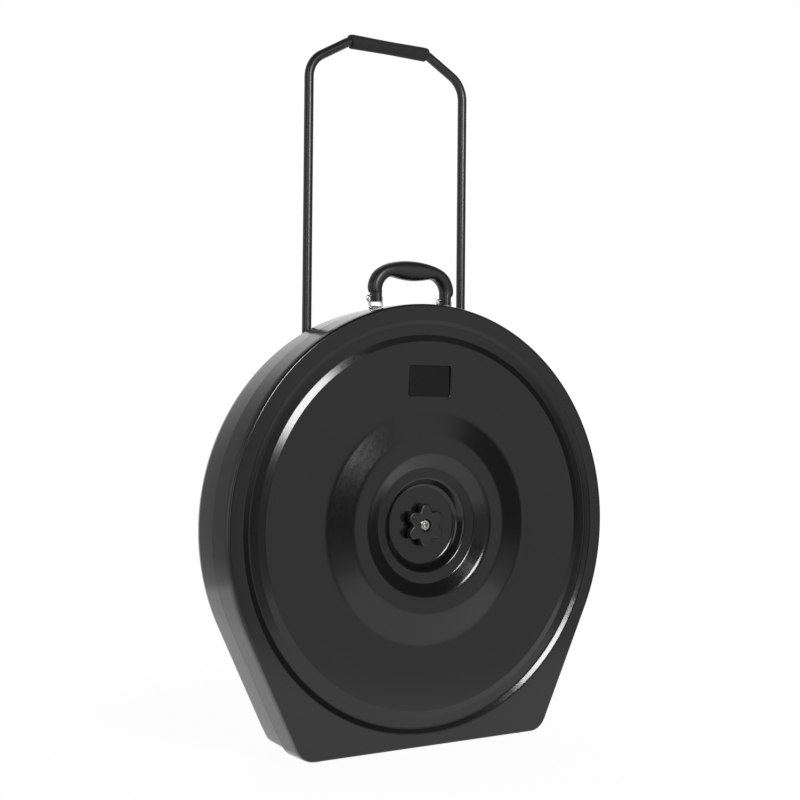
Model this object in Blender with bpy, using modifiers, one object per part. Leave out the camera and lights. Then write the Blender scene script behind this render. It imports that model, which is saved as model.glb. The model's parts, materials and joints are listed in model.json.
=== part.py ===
"""Wheeled hard case for a stack of cymbals, with a trolley handle.

A moulded lid and a moulded rear shell are drawn together on one centre bolt.
Lengths are in metres, +Z is up and +Y runs from the lid to the rear.
The origin is on the floor, under the middle of the case.
"""

import math

import bmesh
import bpy
from mathutils import Matrix, Vector

# Shared gaps and cutter lengths
CLEARANCE = 0.0003
OVERRUN = 0.004

# Outline of the case seen from the front: a circle that stands on a flat base
CASE_RADIUS = 0.310
BASE_CUT = 0.0035
SIDE_LEAN = math.radians(25.4)
CORNER_RADIUS = 0.027
CORNER_RADIUS_LEAST = 0.003
BASE_STEP = 0.006

# Both shells, as depths behind the lid's front plane
WALL = 0.0035
SEAM_DEPTH = 0.046
CASE_DEPTH = 0.118
LID_DRAFT = 0.0015
REAR_DRAFT = 0.001
LID_EDGE_RADIUS = 0.004
REAR_EDGE_RADIUS = 0.028
REAR_RIM_WIDTH = 0.110
LIP_LENGTH = 0.008
LIP_THICKNESS = 0.0025
FLANGE_DEPTH = 0.010
FLANGE_SLOPE = 0.004

# Rings moulded into the lid: the outer ones from the rim inwards, then the inner ones
LAND_WIDTH = 0.020
GROOVE_OUTER_SLOPE = 0.010
GROOVE_FLOOR_WIDTH = 0.012
GROOVE_INNER_SLOPE = 0.0105
GROOVE_DEPTH = 0.004
DISH_EDGE_DEPTH = 0.0005
BAND_OUTER_RADIUS = 0.165
DISH_DEPTH = 0.0075
BAND_INNER_RADIUS = 0.125
BOSS_RADIUS = 0.101
STEP_RADIUS = 0.0815
STEP_DEPTH = 0.010
WELL_RIM_RADIUS = 0.0665
WELL_FLOOR_RADIUS = 0.0575
WELL_DEPTH = 0.025
SOFT_CORNER = 0.003
CRISP_CORNER = 0.002
WELL_CORNER = 0.004

# Pocket for a bare plate in the lid
PLATE_INSET = 0.0545
PLATE_WIDTH = 0.068
PLATE_HEIGHT = 0.042
PLATE_THICKNESS = 0.0015
PLATE_CORNER = 0.003
PLATE_FRAME_GAP = 0.0007
POCKET_FLOOR_DEPTH = 0.0085

# Recess in the middle of the rear face
REAR_RECESS_RADIUS = 0.052
REAR_RECESS_SLOPE = 0.006
REAR_RECESS_DEPTH = 0.005

# Centre bolt and what is threaded on it
BOLT_RADIUS = 0.004
BOLT_TIP_RISE = 0.0125
BOLT_TIP_CHAMFER = 0.0008
BOLT_HOLE_RADIUS = 0.0043
HEX_RADIUS = 0.0075
HEX_HEAD_HEIGHT = 0.0053
NUT_HEIGHT = 0.0065
WASHER_RADIUS = 0.012
WASHER_THICKNESS = 0.0016
BACKING_RADIUS = 0.040
BACKING_THICKNESS = 0.003
SLEEVE_RADIUS = 0.0063
FELT_RADIUS = 0.025
FELT_THICKNESS = 0.006
LID_HOLE_RADIUS = 0.0072

# Foam rings inside the shells
REAR_PAD_RADIUS = 0.114
REAR_PAD_HOLE_RADIUS = 0.056
REAR_PAD_THICKNESS = 0.012
LID_PAD_MARGIN = 0.0072
LID_PAD_THICKNESS = 0.010

# Star knob
KNOB_RADIUS = 0.030
KNOB_VALLEY_RADIUS = 0.0215
KNOB_LOBES = 6
KNOB_HEAD_HEIGHT = 0.0095
KNOB_HEIGHT = 0.012
KNOB_EDGE = 0.0018
KNOB_HUB_RADIUS = 0.014
KNOB_WASHER_RADIUS = 0.016
KNOB_WASHER_THICKNESS = 0.0015
KNOB_BORE_RADIUS = 0.0088
INSERT_SETBACK = 0.0029
INSERT_HEIGHT = 0.0065
INSERT_BORE_RADIUS = 0.0043

# Carry handle on its two wire rings
HANDLE_BEHIND_SEAM = 0.0105
HANDLE_HALF_SPAN = 0.0703
HANDLE_HOLE_RISE = 0.0074
HANDLE_RISE = 0.0604
HANDLE_HALF_THICKNESS = 0.0118
HANDLE_SQUARENESS = 2.6
RING_WIRE_RADIUS = 0.0018
RING_CORNER = 0.0022
RING_RISE = 0.0171
RING_SPREAD = 0.0018
RING_EAR_RADIUS = 0.0028
RING_KNEE_RADIUS = 0.0024
RING_HOLE_RADIUS = 0.0022

# Recessed seats for the handle brackets, on top of the rear shell
SEAT_SINK = 0.00124
SEAT_HALF_WIDTH = 0.0135
SEAT_HALF_DEPTH = 0.0085
BRACKET_HALF_DEPTH = 0.0081
BRACKET_THICKNESS = 0.0012
BRACKET_PLAY = 0.0003
BRACKET_RIVET_REACH = 0.0057
BRACKET_RIVET_RADIUS = 0.0012
BRACKET_RIVET_HEAD = 0.0022
BRACKET_RIVET_HEAD_HEIGHT = 0.001

# Trolley handle
TROLLEY_X = 0.1333
TROLLEY_STANDOFF = 0.0055
TROLLEY_RADIUS = 0.00675
TROLLEY_WALL = 0.0012
TROLLEY_RISE = 0.388
TROLLEY_BAR_HALF = 0.067
TROLLEY_SHOULDER_DROP = 0.038
TROLLEY_BEND = 0.040
TROLLEY_BAR_BEND = 0.028
GRIP_HALF_LENGTH = 0.0670
GRIP_RADIUS = 0.0108

# Guide tubes, their collars and stops
GUIDE_RISE = 0.0015
GUIDE_ABOVE_ARCH = 0.0967
GUIDE_RADIUS = 0.0097
GUIDE_BORE = 0.0084
GUIDE_TAIL = 0.018
CHANNEL_GAP = 0.0004
COLLAR_HEIGHT = 0.012
COLLAR_RADIUS = 0.0115
COLLAR_EDGE = 0.002
SPIGOT_LENGTH = 0.045
STOP_HEIGHT = 0.007
STOP_SPIGOT = 0.010
PLUG_EASE = 0.0002
CAP_HEIGHT = 0.003
CAP_SPIGOT = 0.008

# Saddle clamps over the guide tubes
CLAMP_RISES = {"upper": 0.193, "lower": 0.033}
CLAMP_HALF_WIDTH = 0.009
CLAMP_THICKNESS = 0.002
CLAMP_EAR = 0.011
CLAMP_RIVET_RADIUS = 0.0017
CLAMP_RIVET_HEAD = 0.0036
CLAMP_RIVET_HEAD_HEIGHT = 0.0015

# Wheels in arches at the rear of the base
WHEEL_CORNER_INSET = 0.0186
WHEEL_INSET = 0.014
WHEEL_RADIUS = 0.032
WHEEL_WIDTH = 0.022
TYRE_THICKNESS = 0.009
TYRE_SHOULDER = 0.003
WHEEL_SIDE_GAP = 0.003
ARCH_GAP = 0.004
AXLE_RADIUS = 0.004
AXLE_HEAD_RADIUS = 0.0065
AXLE_HEAD_HEIGHT = 0.0025
HUB_BOSS_RADIUS = 0.009
HUB_WEB_HALF = 0.003
HUB_RIM = 0.004
HUB_HOLES = 6
HUB_HOLE_RADIUS = 0.0028

# Rubber feet pushed into the lid's base
FOOT_CORNER_INSET = 0.0126
FOOT_BEFORE_SEAM = 0.021
FOOT_RADIUS = 0.010
FOOT_HEIGHT = 0.0032
FOOT_EDGE = 0.001
FOOT_STEM_RADIUS = 0.003
FOOT_BARB_RADIUS = 0.0045
FOOT_BARB_HEIGHT = 0.003

# Facets
ARC_STEPS = 14
FLANK_STEPS = 3
CORNER_STEPS = 3
BASE_STEPS = 3
ROUND_SIDES = 20
HANDLE_SIDES = 14
SMALL_SIDES = 12
TINY_SIDES = 8
HEX_SIDES = 6
CHAMFER_STEPS = 1
FINE_STEPS = 2
EDGE_STEPS = 3
BEND_STEPS = 4
SADDLE_STEPS = 6
BRACKET_STEPS = 4
TUBE_RESOLUTION = 3
WIRE_RESOLUTION = 2
SMOOTH_ANGLE = math.radians(35)
MERGE_DISTANCE = 0.00001

# Carry handle outline from a post's foot to the crown, as shares of the half
# span and of the rise: the outer side and the inner side of each section
HANDLE_OUTER_SHARES = (
    (0.930, 0.0), (0.945, 0.190), (0.984, 0.235), (1.0, 0.360), (0.966, 0.517), (0.885, 0.682),
    (0.750, 0.815), (0.574, 0.906), (0.372, 0.962), (0.185, 0.992), (0.0, 1.0),
)
HANDLE_INNER_SHARES = (
    (0.744, 0.0), (0.737, 0.190), (0.734, 0.235), (0.731, 0.321), (0.701, 0.430), (0.630, 0.530),
    (0.534, 0.594), (0.430, 0.596), (0.284, 0.566), (0.142, 0.546), (0.0, 0.537),
)
HANDLE_THICKNESS_SHARES = (0.84, 0.85, 0.86, 0.88, 0.92, 0.96, 0.98, 1.0, 1.0, 1.0, 1.0)
SIDE_SIGNS = {"left": -1, "right": 1}

# Levels and depths of the case
BASE_DROP = CASE_RADIUS - BASE_CUT
REAR_DROP = BASE_DROP - BASE_STEP
CENTRE_HEIGHT = BASE_DROP + LID_DRAFT + FOOT_HEIGHT
WHEEL_DEPTH = CASE_DEPTH - WHEEL_INSET
FRONT_Y = -(WHEEL_DEPTH + WHEEL_RADIUS) / 2
FOOT_DEPTH = SEAM_DEPTH - FOOT_BEFORE_SEAM

# Radii of the lid's outer rings
LAND_RADIUS = CASE_RADIUS - LAND_WIDTH
GROOVE_OUTER_RADIUS = LAND_RADIUS - GROOVE_OUTER_SLOPE
GROOVE_INNER_RADIUS = GROOVE_OUTER_RADIUS - GROOVE_FLOOR_WIDTH
DISH_RADIUS = GROOVE_INNER_RADIUS - GROOVE_INNER_SLOPE
RIM_FROM = (LAND_RADIUS + CASE_RADIUS) / 2
REAR_RIM_FROM = CASE_RADIUS - REAR_RIM_WIDTH
PLATE_LEVEL = DISH_RADIUS - PLATE_INSET

# Rings and brackets under the middle of the carry handle's posts, whose sides
# the rings clear at the foot below and at the shank above
POST_INNER = HANDLE_INNER_SHARES[0][0] * HANDLE_HALF_SPAN
SHANK_OUTER = HANDLE_OUTER_SHARES[1][0] * HANDLE_HALF_SPAN
SHANK_INNER = HANDLE_INNER_SHARES[1][0] * HANDLE_HALF_SPAN
RING_X = (SHANK_OUTER + SHANK_INNER) / 2
RING_HALF_WIDTH = RING_X - POST_INNER + RING_WIRE_RADIUS + CLEARANCE
RING_TOP_HALF_WIDTH = (SHANK_OUTER - SHANK_INNER) / 2 + RING_WIRE_RADIUS + CLEARANCE
BRACKET_HALF_LENGTH = RING_HALF_WIDTH - RING_WIRE_RADIUS - 2 * CLEARANCE
SEAT_LEVEL = math.sqrt(CASE_RADIUS ** 2 - RING_X ** 2) - SEAT_SINK
RING_LOWER = SEAT_LEVEL + RING_WIRE_RADIUS + CLEARANCE
RING_UPPER = RING_LOWER + RING_RISE
HANDLE_FOOT = RING_UPPER - HANDLE_HOLE_RISE
HANDLE_DEPTH = SEAM_DEPTH + HANDLE_BEHIND_SEAM
RIVET_REACHES = {"front": -BRACKET_RIVET_REACH, "rear": BRACKET_RIVET_REACH}

# Wheels, and the trolley handle that ends above their arches
WHEEL_LEVEL = WHEEL_RADIUS - CENTRE_HEIGHT
ARCH_HALF_WIDTH = WHEEL_WIDTH / 2 + WHEEL_SIDE_GAP
ARCH_RADIUS = WHEEL_RADIUS + ARCH_GAP
TROLLEY_DEPTH = CASE_DEPTH + TROLLEY_STANDOFF
TROLLEY_BAR = CASE_RADIUS + TROLLEY_RISE
TROLLEY_SHOULDER = TROLLEY_BAR - TROLLEY_SHOULDER_DROP
GUIDE_TOP = math.sqrt((CASE_RADIUS - REAR_EDGE_RADIUS) ** 2 - TROLLEY_X ** 2) + GUIDE_RISE
GUIDE_BOTTOM = WHEEL_LEVEL + ARCH_RADIUS + WALL + GUIDE_ABOVE_ARCH
LEG_FOOT = GUIDE_TOP - SPIGOT_LENGTH
TROLLEY_TRAVEL = LEG_FOOT - GUIDE_BOTTOM - GUIDE_TAIL
CHANNEL_RADIUS = GUIDE_RADIUS + CHANNEL_GAP
COLLAR_CHANNEL_RADIUS = COLLAR_RADIUS + CHANNEL_GAP
CLAMP_HEIGHTS = {level: GUIDE_BOTTOM + rise for level, rise in CLAMP_RISES.items()}
CLAMP_RIVET_REACH = GUIDE_RADIUS + CLEARANCE + CLAMP_THICKNESS + CLAMP_EAR / 2


def at(x, depth, height):
    """World place of a point given from the case's centre and front plane."""
    return Vector((x, FRONT_Y + depth, CENTRE_HEIGHT + height))


def new_collection(name):
    """Collection under the scene's own."""
    collection = bpy.data.collections.new(name)
    bpy.context.scene.collection.children.link(collection)
    return collection


def make_material(name, colour, roughness, metallic=0.0):
    """Plain Principled material."""
    material = bpy.data.materials.new(name)
    material.use_nodes = True
    shader = material.node_tree.nodes["Principled BSDF"]
    shader.inputs["Base Color"].default_value = (*colour, 1.0)
    shader.inputs["Roughness"].default_value = roughness
    shader.inputs["Metallic"].default_value = metallic
    material.diffuse_color = (*colour, 1.0)
    return material


for old in list(bpy.data.objects):
    bpy.data.objects.remove(old, do_unlink=True)
CASE = new_collection("cymbal_case")
CUTTERS = new_collection("cutters")
GUIDES = new_collection("guides")

SHELL = make_material("shell_plastic", (0.030, 0.030, 0.031), 0.42)
PLASTIC = make_material("black_plastic", (0.022, 0.022, 0.023), 0.35)
PLATE = make_material("plate", (0.010, 0.010, 0.010), 0.25)
STEEL = make_material("zinc_steel", (0.60, 0.60, 0.58), 0.30, 1.0)
CHROME = make_material("chrome", (0.80, 0.80, 0.80), 0.08, 1.0)
PAINTED_TUBE = make_material("painted_tube", (0.020, 0.020, 0.021), 0.30)
GRIP_FOAM = make_material("grip_foam", (0.025, 0.025, 0.026), 0.85)
RUBBER = make_material("rubber", (0.012, 0.012, 0.012), 0.75)
FOAM = make_material("pad_foam", (0.050, 0.050, 0.055), 0.95)
FELT = make_material("felt", (0.080, 0.080, 0.085), 0.95)
NYLON = make_material("nylon", (0.70, 0.69, 0.65), 0.45)


def place(name, data, material=None):
    """Object in the case's collection, or a hidden wire cutter without a material."""
    obj = bpy.data.objects.new(name, data)
    if material is None:
        CUTTERS.objects.link(obj)
        obj.display_type = "WIRE"
        obj.hide_render = True
    else:
        CASE.objects.link(obj)
        data.materials.append(material)
    return obj


def mesh_object(name, bm, material=None):
    """Object that takes over a bmesh."""
    mesh = bpy.data.meshes.new(name)
    bm.to_mesh(mesh)
    bm.free()
    mesh.shade_smooth()
    mesh.set_sharp_from_angle(angle=SMOOTH_ANGLE)
    return place(name, mesh, material)


def solid(name, shapes, material=None):
    """One object from shapes, each a function that adds itself to a bmesh."""
    bm = bmesh.new()
    for shape in shapes:
        shape(bm)
    return mesh_object(name, bm, material)


def bar(radius, start, end, sides=SMALL_SIDES):
    """Round bar between two points."""
    def add(bm):
        run = end - start
        turn = Vector((0, 0, 1)).rotation_difference(run).to_matrix().to_4x4()
        middle = Matrix.Translation((start + end) / 2)
        bmesh.ops.create_cone(bm, cap_ends=True, segments=sides, radius1=radius, radius2=radius,
                              depth=run.length, matrix=middle @ turn)
    return add


def block(low, high):
    """Box between two corners."""
    def add(bm):
        size = high - low
        scale = Matrix.Diagonal((*size, 1))
        bmesh.ops.create_cube(bm, size=1, matrix=Matrix.Translation((low + high) / 2) @ scale)
    return add


def loft(name, rings, material=None):
    """Closed solid through rings with equal point counts, capped at both ends."""
    bm = bmesh.new()
    rows = [[bm.verts.new(point) for point in ring] for ring in rings]
    for row, after in zip(rows, rows[1:]):
        for i, vertex in enumerate(row):
            j = (i + 1) % len(row)
            bm.faces.new((vertex, row[j], after[j], after[i]))
    bm.faces.new(rows[0])
    bm.faces.new(rows[-1])
    bmesh.ops.recalc_face_normals(bm, faces=bm.faces)
    return mesh_object(name, bm, material)


def turned(name, profile, centre, axis, sides, material=None):
    """Profile of (radius, place along the axis) points, turned with a Screw."""
    mesh = bpy.data.meshes.new(name)
    count = len(profile)
    edges = [(i, i + 1) for i in range(count - 1)]
    if profile[0][0] > 0:
        edges.append((count - 1, 0))
    mesh.from_pydata([(radius, 0, along) for radius, along in profile], edges, [])
    obj = place(name, mesh, material)
    obj.location = centre
    turns = {"X": (0, math.pi / 2, 0), "Y": (-math.pi / 2, 0, 0), "Z": (0, 0, 0)}
    obj.rotation_euler = turns[axis]
    screw = obj.modifiers.new("turn", "SCREW")
    screw.steps = sides
    screw.render_steps = sides
    screw.use_merge_vertices = True
    screw.merge_threshold = MERGE_DISTANCE
    return obj


def sleeve_profile(inner, outer, low, high, edge=0.0):
    """Section of a tube, with an optional chamfer on its outer edges."""
    if edge == 0:
        return [(outer, high), (outer, low), (inner, low), (inner, high)]
    return [(outer - edge, high), (outer, high - edge), (outer, low + edge), (outer - edge, low),
            (inner, low), (inner, high)]


def boolean(obj, other, operation="DIFFERENCE"):
    """Cut or join with another object."""
    step = obj.modifiers.new(other.name, "BOOLEAN")
    step.operation = operation
    step.solver = "EXACT"
    step.object = other
    return obj


def polyline_curve(name, points, radius, resolution, closed=False, caps=True):
    """Bevelled curve through points."""
    curve = bpy.data.curves.new(name, "CURVE")
    curve.dimensions = "3D"
    curve.bevel_depth = radius
    curve.bevel_resolution = resolution
    curve.use_fill_caps = caps
    spline = curve.splines.new("POLY")
    spline.points.add(len(points) - 1)
    for item, point in zip(spline.points, points):
        item.co = (*point, 1)
    spline.use_cyclic_u = closed
    return curve


def rounded_path(corners, bends):
    """Path through corners, with an arc of (radius, steps) at each inner one."""
    path = [corners[0]]
    for before, corner, after, bend in zip(corners, corners[1:], corners[2:], bends):
        radius, steps = bend
        back = (before - corner).normalized()
        on = (after - corner).normalized()
        half = back.angle(on) / 2
        centre = corner + (back + on).normalized() * radius / math.sin(half)
        start = corner + back * radius / math.tan(half) - centre
        end = corner + on * radius / math.tan(half) - centre
        sweep = start.angle(end)
        for i in range(steps + 1):
            share = i / steps
            weights = math.sin((1 - share) * sweep), math.sin(share * sweep)
            path.append(centre + (start * weights[0] + end * weights[1]) / math.sin(sweep))
    path.append(corners[-1])
    return path


def moved_inwards(profile, distance):
    """Profile moved to its left by a wall, with mitred corners."""
    normals = []
    for start, end in zip(profile, profile[1:]):
        run = (end - start).normalized()
        normals.append(Vector((-run.y, run.x)))
    result = [profile[0] + normals[0] * distance]
    for corner, before, after in zip(profile[1:-1], normals, normals[1:]):
        mitre = (before + after).normalized()
        result.append(corner + mitre * distance / mitre.dot(after))
    result.append(profile[-1] + normals[-1] * distance)
    return result


def corner_centre(inset, drop, radius):
    """Centre of the outline's lower right corner, from the case's centre."""
    z = radius + inset - drop
    x = (CASE_RADIUS - inset - radius + z * math.sin(SIDE_LEAN)) / math.cos(SIDE_LEAN)
    return Vector((x, z))


def outline_reach(angle, inset, drop):
    """Distance from the case's centre to its outline, moved in by an inset."""
    way = Vector((abs(math.cos(angle)), math.sin(angle)))
    radius = CASE_RADIUS - inset
    if way.y > -math.sin(SIDE_LEAN):
        return radius
    flank = radius / (way.x * math.cos(SIDE_LEAN) - way.y * math.sin(SIDE_LEAN))
    reach = min(flank, (inset - drop) / way.y)
    bend = max(CORNER_RADIUS - inset, CORNER_RADIUS_LEAST)
    centre = corner_centre(inset, drop, bend)
    beyond = way * reach - centre
    down_flank = Vector((-math.sin(SIDE_LEAN), -math.cos(SIDE_LEAN)))
    if beyond.x > 0 and beyond.dot(down_flank) > 0:
        along = way.dot(centre)
        reach = along + math.sqrt(along ** 2 - centre.length_squared + bend ** 2)
    return reach


def outline_angles():
    """Directions of the outline's points, which every ring of the shells shares."""
    centre = corner_centre(0, BASE_DROP, CORNER_RADIUS)
    half = [Vector((centre.x * i / BASE_STEPS, -BASE_DROP)) for i in range(BASE_STEPS)]
    for i in range(CORNER_STEPS + 1):
        turn = (SIDE_LEAN - math.pi / 2) * (1 - i / CORNER_STEPS) - SIDE_LEAN
        half.append(centre + CORNER_RADIUS * Vector((math.cos(turn), math.sin(turn))))
    shoulder = CASE_RADIUS * Vector((math.cos(SIDE_LEAN), -math.sin(SIDE_LEAN)))
    foot = half[-1]
    half += [foot.lerp(shoulder, i / FLANK_STEPS) for i in range(1, FLANK_STEPS)]
    for i in range(ARC_STEPS + 1):
        turn = -SIDE_LEAN + (math.pi / 2 + SIDE_LEAN) * i / ARC_STEPS
        half.append(CASE_RADIUS * Vector((math.cos(turn), math.sin(turn))))
    right = [math.atan2(point.y, point.x) for point in half]
    return right + [math.pi - angle for angle in right[-2:0:-1]]


ANGLES = outline_angles()
CORNER_X = corner_centre(0, BASE_DROP, CORNER_RADIUS).x
WHEEL_X = CORNER_X - WHEEL_CORNER_INSET
FOOT_X = CORNER_X - FOOT_CORNER_INSET


def case_ring(radius, depth, drop, rim_from):
    """Ring of the shells: the outline near the rim, a plain circle inside it."""
    points = []
    for angle in ANGLES:
        reach = radius
        if radius > rim_from:
            reach = outline_reach(angle, CASE_RADIUS - radius, drop)
        points.append(at(reach * math.cos(angle), depth, reach * math.sin(angle)))
    return points


def lid_side_radius(depth):
    """Outer radius of the lid's drafted side."""
    return CASE_RADIUS + LID_DRAFT * depth / SEAM_DEPTH


LID_PROFILE = [Vector(point) for point in (
    (0, WELL_DEPTH),
    (WELL_FLOOR_RADIUS, WELL_DEPTH),
    (WELL_RIM_RADIUS, STEP_DEPTH),
    (STEP_RADIUS, STEP_DEPTH),
    (BOSS_RADIUS, 0),
    (BAND_INNER_RADIUS, 0),
    (BAND_OUTER_RADIUS, DISH_DEPTH),
    (DISH_RADIUS, DISH_EDGE_DEPTH),
    (GROOVE_INNER_RADIUS, GROOVE_DEPTH),
    (GROOVE_OUTER_RADIUS, GROOVE_DEPTH),
    (LAND_RADIUS, 0),
    (CASE_RADIUS, 0),
    (CASE_RADIUS + LID_DRAFT, SEAM_DEPTH),
)]
WELL_BEND = (WELL_CORNER, FINE_STEPS)
SOFT_BEND = (SOFT_CORNER, CHAMFER_STEPS)
CRISP_BEND = (CRISP_CORNER, CHAMFER_STEPS)
LID_BENDS = [WELL_BEND] * 2 + [SOFT_BEND] * 4 + [CRISP_BEND] * 4 + [(LID_EDGE_RADIUS, FINE_STEPS)]
LID_INSIDE = moved_inwards(LID_PROFILE, WALL)
BAND_CORNER = LID_PROFILE.index(Vector((BAND_OUTER_RADIUS, DISH_DEPTH)))

REAR_START = SEAM_DEPTH + CLEARANCE
REAR_PROFILE = [Vector(point) for point in (
    (CASE_RADIUS + LID_DRAFT, REAR_START),
    (CASE_RADIUS - REAR_DRAFT, CASE_DEPTH),
    (REAR_RECESS_RADIUS, CASE_DEPTH),
    (REAR_RECESS_RADIUS - REAR_RECESS_SLOPE, CASE_DEPTH - REAR_RECESS_DEPTH),
    (0, CASE_DEPTH - REAR_RECESS_DEPTH),
)]
REAR_INSIDE = moved_inwards(REAR_PROFILE, WALL)
LIP_RADIUS = lid_side_radius(SEAM_DEPTH - LIP_LENGTH) - WALL - CLEARANCE


def plate_block(grow, floor):
    """Block from before the lid's face to a floor behind the plate, grown all round."""
    half = Vector((PLATE_WIDTH / 2 + grow, PLATE_HEIGHT / 2 + grow))
    low = at(-half.x, -OVERRUN, PLATE_LEVEL - half.y)
    high = at(half.x, floor, PLATE_LEVEL + half.y)
    return block(low, high)


def lid_base_level(depth):
    """Height of the lid's drafted base at a depth, from the case's centre."""
    return CASE_RADIUS - BASE_DROP - lid_side_radius(depth)


def front_shell():
    """Lid: ringed face, drafted side, and a flange that meets the rear shell's lip."""
    rings = [case_ring(point.x, point.y, BASE_DROP, RIM_FROM)
             for point in rounded_path(LID_PROFILE, LID_BENDS)[1:]]
    shell = loft("front_shell", rings, SHELL)

    inside = [case_ring(point.x, point.y, BASE_DROP, RIM_FROM) for point in LID_INSIDE[1:-1]]
    flange_top = SEAM_DEPTH - FLANGE_DEPTH
    for depth, drop in ((flange_top - FLANGE_SLOPE, BASE_DROP), (flange_top, REAR_DROP)):
        inside.append(case_ring(lid_side_radius(depth) - WALL, depth, drop, RIM_FROM))
    mouth = lid_side_radius(SEAM_DEPTH) - WALL
    inside.append(case_ring(mouth, SEAM_DEPTH + OVERRUN, REAR_DROP, RIM_FROM))
    cavity = loft("lid_cavity", inside)

    backing = plate_block(PLATE_FRAME_GAP + WALL, POCKET_FLOOR_DEPTH + WALL)
    boolean(cavity, solid("plate_backing", [backing]))
    boolean(shell, cavity)
    boolean(shell, solid("plate_pocket", [plate_block(PLATE_FRAME_GAP, POCKET_FLOOR_DEPTH)]))

    holes = [bar(LID_HOLE_RADIUS, at(0, WELL_DEPTH - OVERRUN, 0), at(0, WELL_DEPTH + 2 * OVERRUN, 0))]
    for sign in SIDE_SIGNS.values():
        low = at(sign * FOOT_X, FOOT_DEPTH, -BASE_DROP - OVERRUN)
        high = at(sign * FOOT_X, FOOT_DEPTH, -BASE_DROP + 2 * OVERRUN)
        holes.append(bar(FOOT_STEM_RADIUS + CLEARANCE, low, high, TINY_SIDES))
    boolean(shell, solid("lid_holes", holes))
    return shell


def channel_bar(x, radius, bottom, top):
    """Upright bar on a trolley leg's axis."""
    return bar(radius, at(x, TROLLEY_DEPTH, bottom), at(x, TROLLEY_DEPTH, top), SMALL_SIDES)


def rear_recesses(grow, suffix):
    """Channels, wheel arches and bracket seats, grown by a wall for the inside."""
    channels = []
    collars = []
    arches = []
    seats = []
    for sign in SIDE_SIGNS.values():
        x = sign * TROLLEY_X
        foot = GUIDE_BOTTOM - CAP_HEIGHT - CLEARANCE - grow
        channels.append(channel_bar(x, CHANNEL_RADIUS + grow, foot, CASE_RADIUS + OVERRUN))
        seat = GUIDE_TOP + CLEARANCE - CHANNEL_GAP - grow
        collars.append(channel_bar(x, COLLAR_CHANNEL_RADIUS + grow, seat, CASE_RADIUS + 2 * OVERRUN))
        inner = at(sign * WHEEL_X - ARCH_HALF_WIDTH - grow, WHEEL_DEPTH, WHEEL_LEVEL)
        outer = at(sign * WHEEL_X + ARCH_HALF_WIDTH + grow, WHEEL_DEPTH, WHEEL_LEVEL)
        arches.append(bar(ARCH_RADIUS + grow, inner, outer, ROUND_SIDES))
        half = SEAT_HALF_WIDTH + grow
        reach = SEAT_HALF_DEPTH + min(grow, HANDLE_DEPTH - SEAT_HALF_DEPTH - REAR_START)
        low = at(sign * RING_X - half, HANDLE_DEPTH - reach, SEAT_LEVEL - grow)
        high = at(sign * RING_X + half, HANDLE_DEPTH + reach, CASE_RADIUS + OVERRUN)
        seats.append(block(low, high))
    groups = {"channels": channels, "collar_seats": collars, "arches": arches, "seats": seats}
    return [solid(f"{name}_{suffix}", shapes) for name, shapes in groups.items()]


def rear_holes():
    """Holes for the centre bolt, axles, clamp rivets and bracket rivets."""
    end = CASE_DEPTH + OVERRUN
    holes = [bar(BOLT_HOLE_RADIUS, at(0, CASE_DEPTH - 4 * OVERRUN, 0), at(0, end, 0))]
    for sign in SIDE_SIGNS.values():
        half = ARCH_HALF_WIDTH + WALL + OVERRUN
        inner = at(sign * WHEEL_X - half, WHEEL_DEPTH, WHEEL_LEVEL)
        outer = at(sign * WHEEL_X + half, WHEEL_DEPTH, WHEEL_LEVEL)
        holes.append(bar(AXLE_RADIUS + CLEARANCE, inner, outer))
        for height in CLAMP_HEIGHTS.values():
            for side in SIDE_SIGNS.values():
                x = sign * TROLLEY_X + side * CLAMP_RIVET_REACH
                start = at(x, CASE_DEPTH - 2 * OVERRUN, height)
                holes.append(bar(CLAMP_RIVET_RADIUS + CLEARANCE, start, at(x, end, height), TINY_SIDES))
        for side in SIDE_SIGNS.values():
            depth = HANDLE_DEPTH + side * BRACKET_RIVET_REACH
            low = at(sign * RING_X, depth, SEAT_LEVEL - 2 * OVERRUN)
            high = at(sign * RING_X, depth, SEAT_LEVEL + OVERRUN)
            holes.append(bar(BRACKET_RIVET_RADIUS + CLEARANCE, low, high, TINY_SIDES))
    return solid("rear_holes", holes)


def rear_shell():
    """Rear half: locating lip, tube channels, wheel arches and bracket seats."""
    rim = CASE_RADIUS + LID_DRAFT
    bends = ((REAR_EDGE_RADIUS, EDGE_STEPS), SOFT_BEND, SOFT_BEND)
    rings = [case_ring(LIP_RADIUS, SEAM_DEPTH - LIP_LENGTH, REAR_DROP, REAR_RIM_FROM),
             case_ring(LIP_RADIUS, REAR_START, REAR_DROP, REAR_RIM_FROM)]
    for point in rounded_path(REAR_PROFILE, bends)[:-1]:
        rings.append(case_ring(point.x, point.y, REAR_DROP, REAR_RIM_FROM))
    shell = loft("rear_shell", rings, SHELL)

    lip_inside = LIP_RADIUS - LIP_THICKNESS
    inside = [case_ring(lip_inside, SEAM_DEPTH - LIP_LENGTH - OVERRUN, REAR_DROP, REAR_RIM_FROM),
              case_ring(lip_inside, SEAM_DEPTH + WALL, REAR_DROP, REAR_RIM_FROM),
              case_ring(rim - WALL, SEAM_DEPTH + 2 * WALL, REAR_DROP, REAR_RIM_FROM)]
    bends = ((REAR_EDGE_RADIUS - WALL, EDGE_STEPS), SOFT_BEND, SOFT_BEND)
    for point in rounded_path(REAR_INSIDE, bends)[1:-1]:
        inside.append(case_ring(point.x, point.y, REAR_DROP, REAR_RIM_FROM))
    cavity = loft("rear_cavity", inside)

    for recess in rear_recesses(WALL, "inside"):
        boolean(cavity, recess)
    boolean(shell, cavity)
    for recess in rear_recesses(0, "outside"):
        boolean(shell, recess)
    boolean(shell, rear_holes())
    return shell


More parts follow.
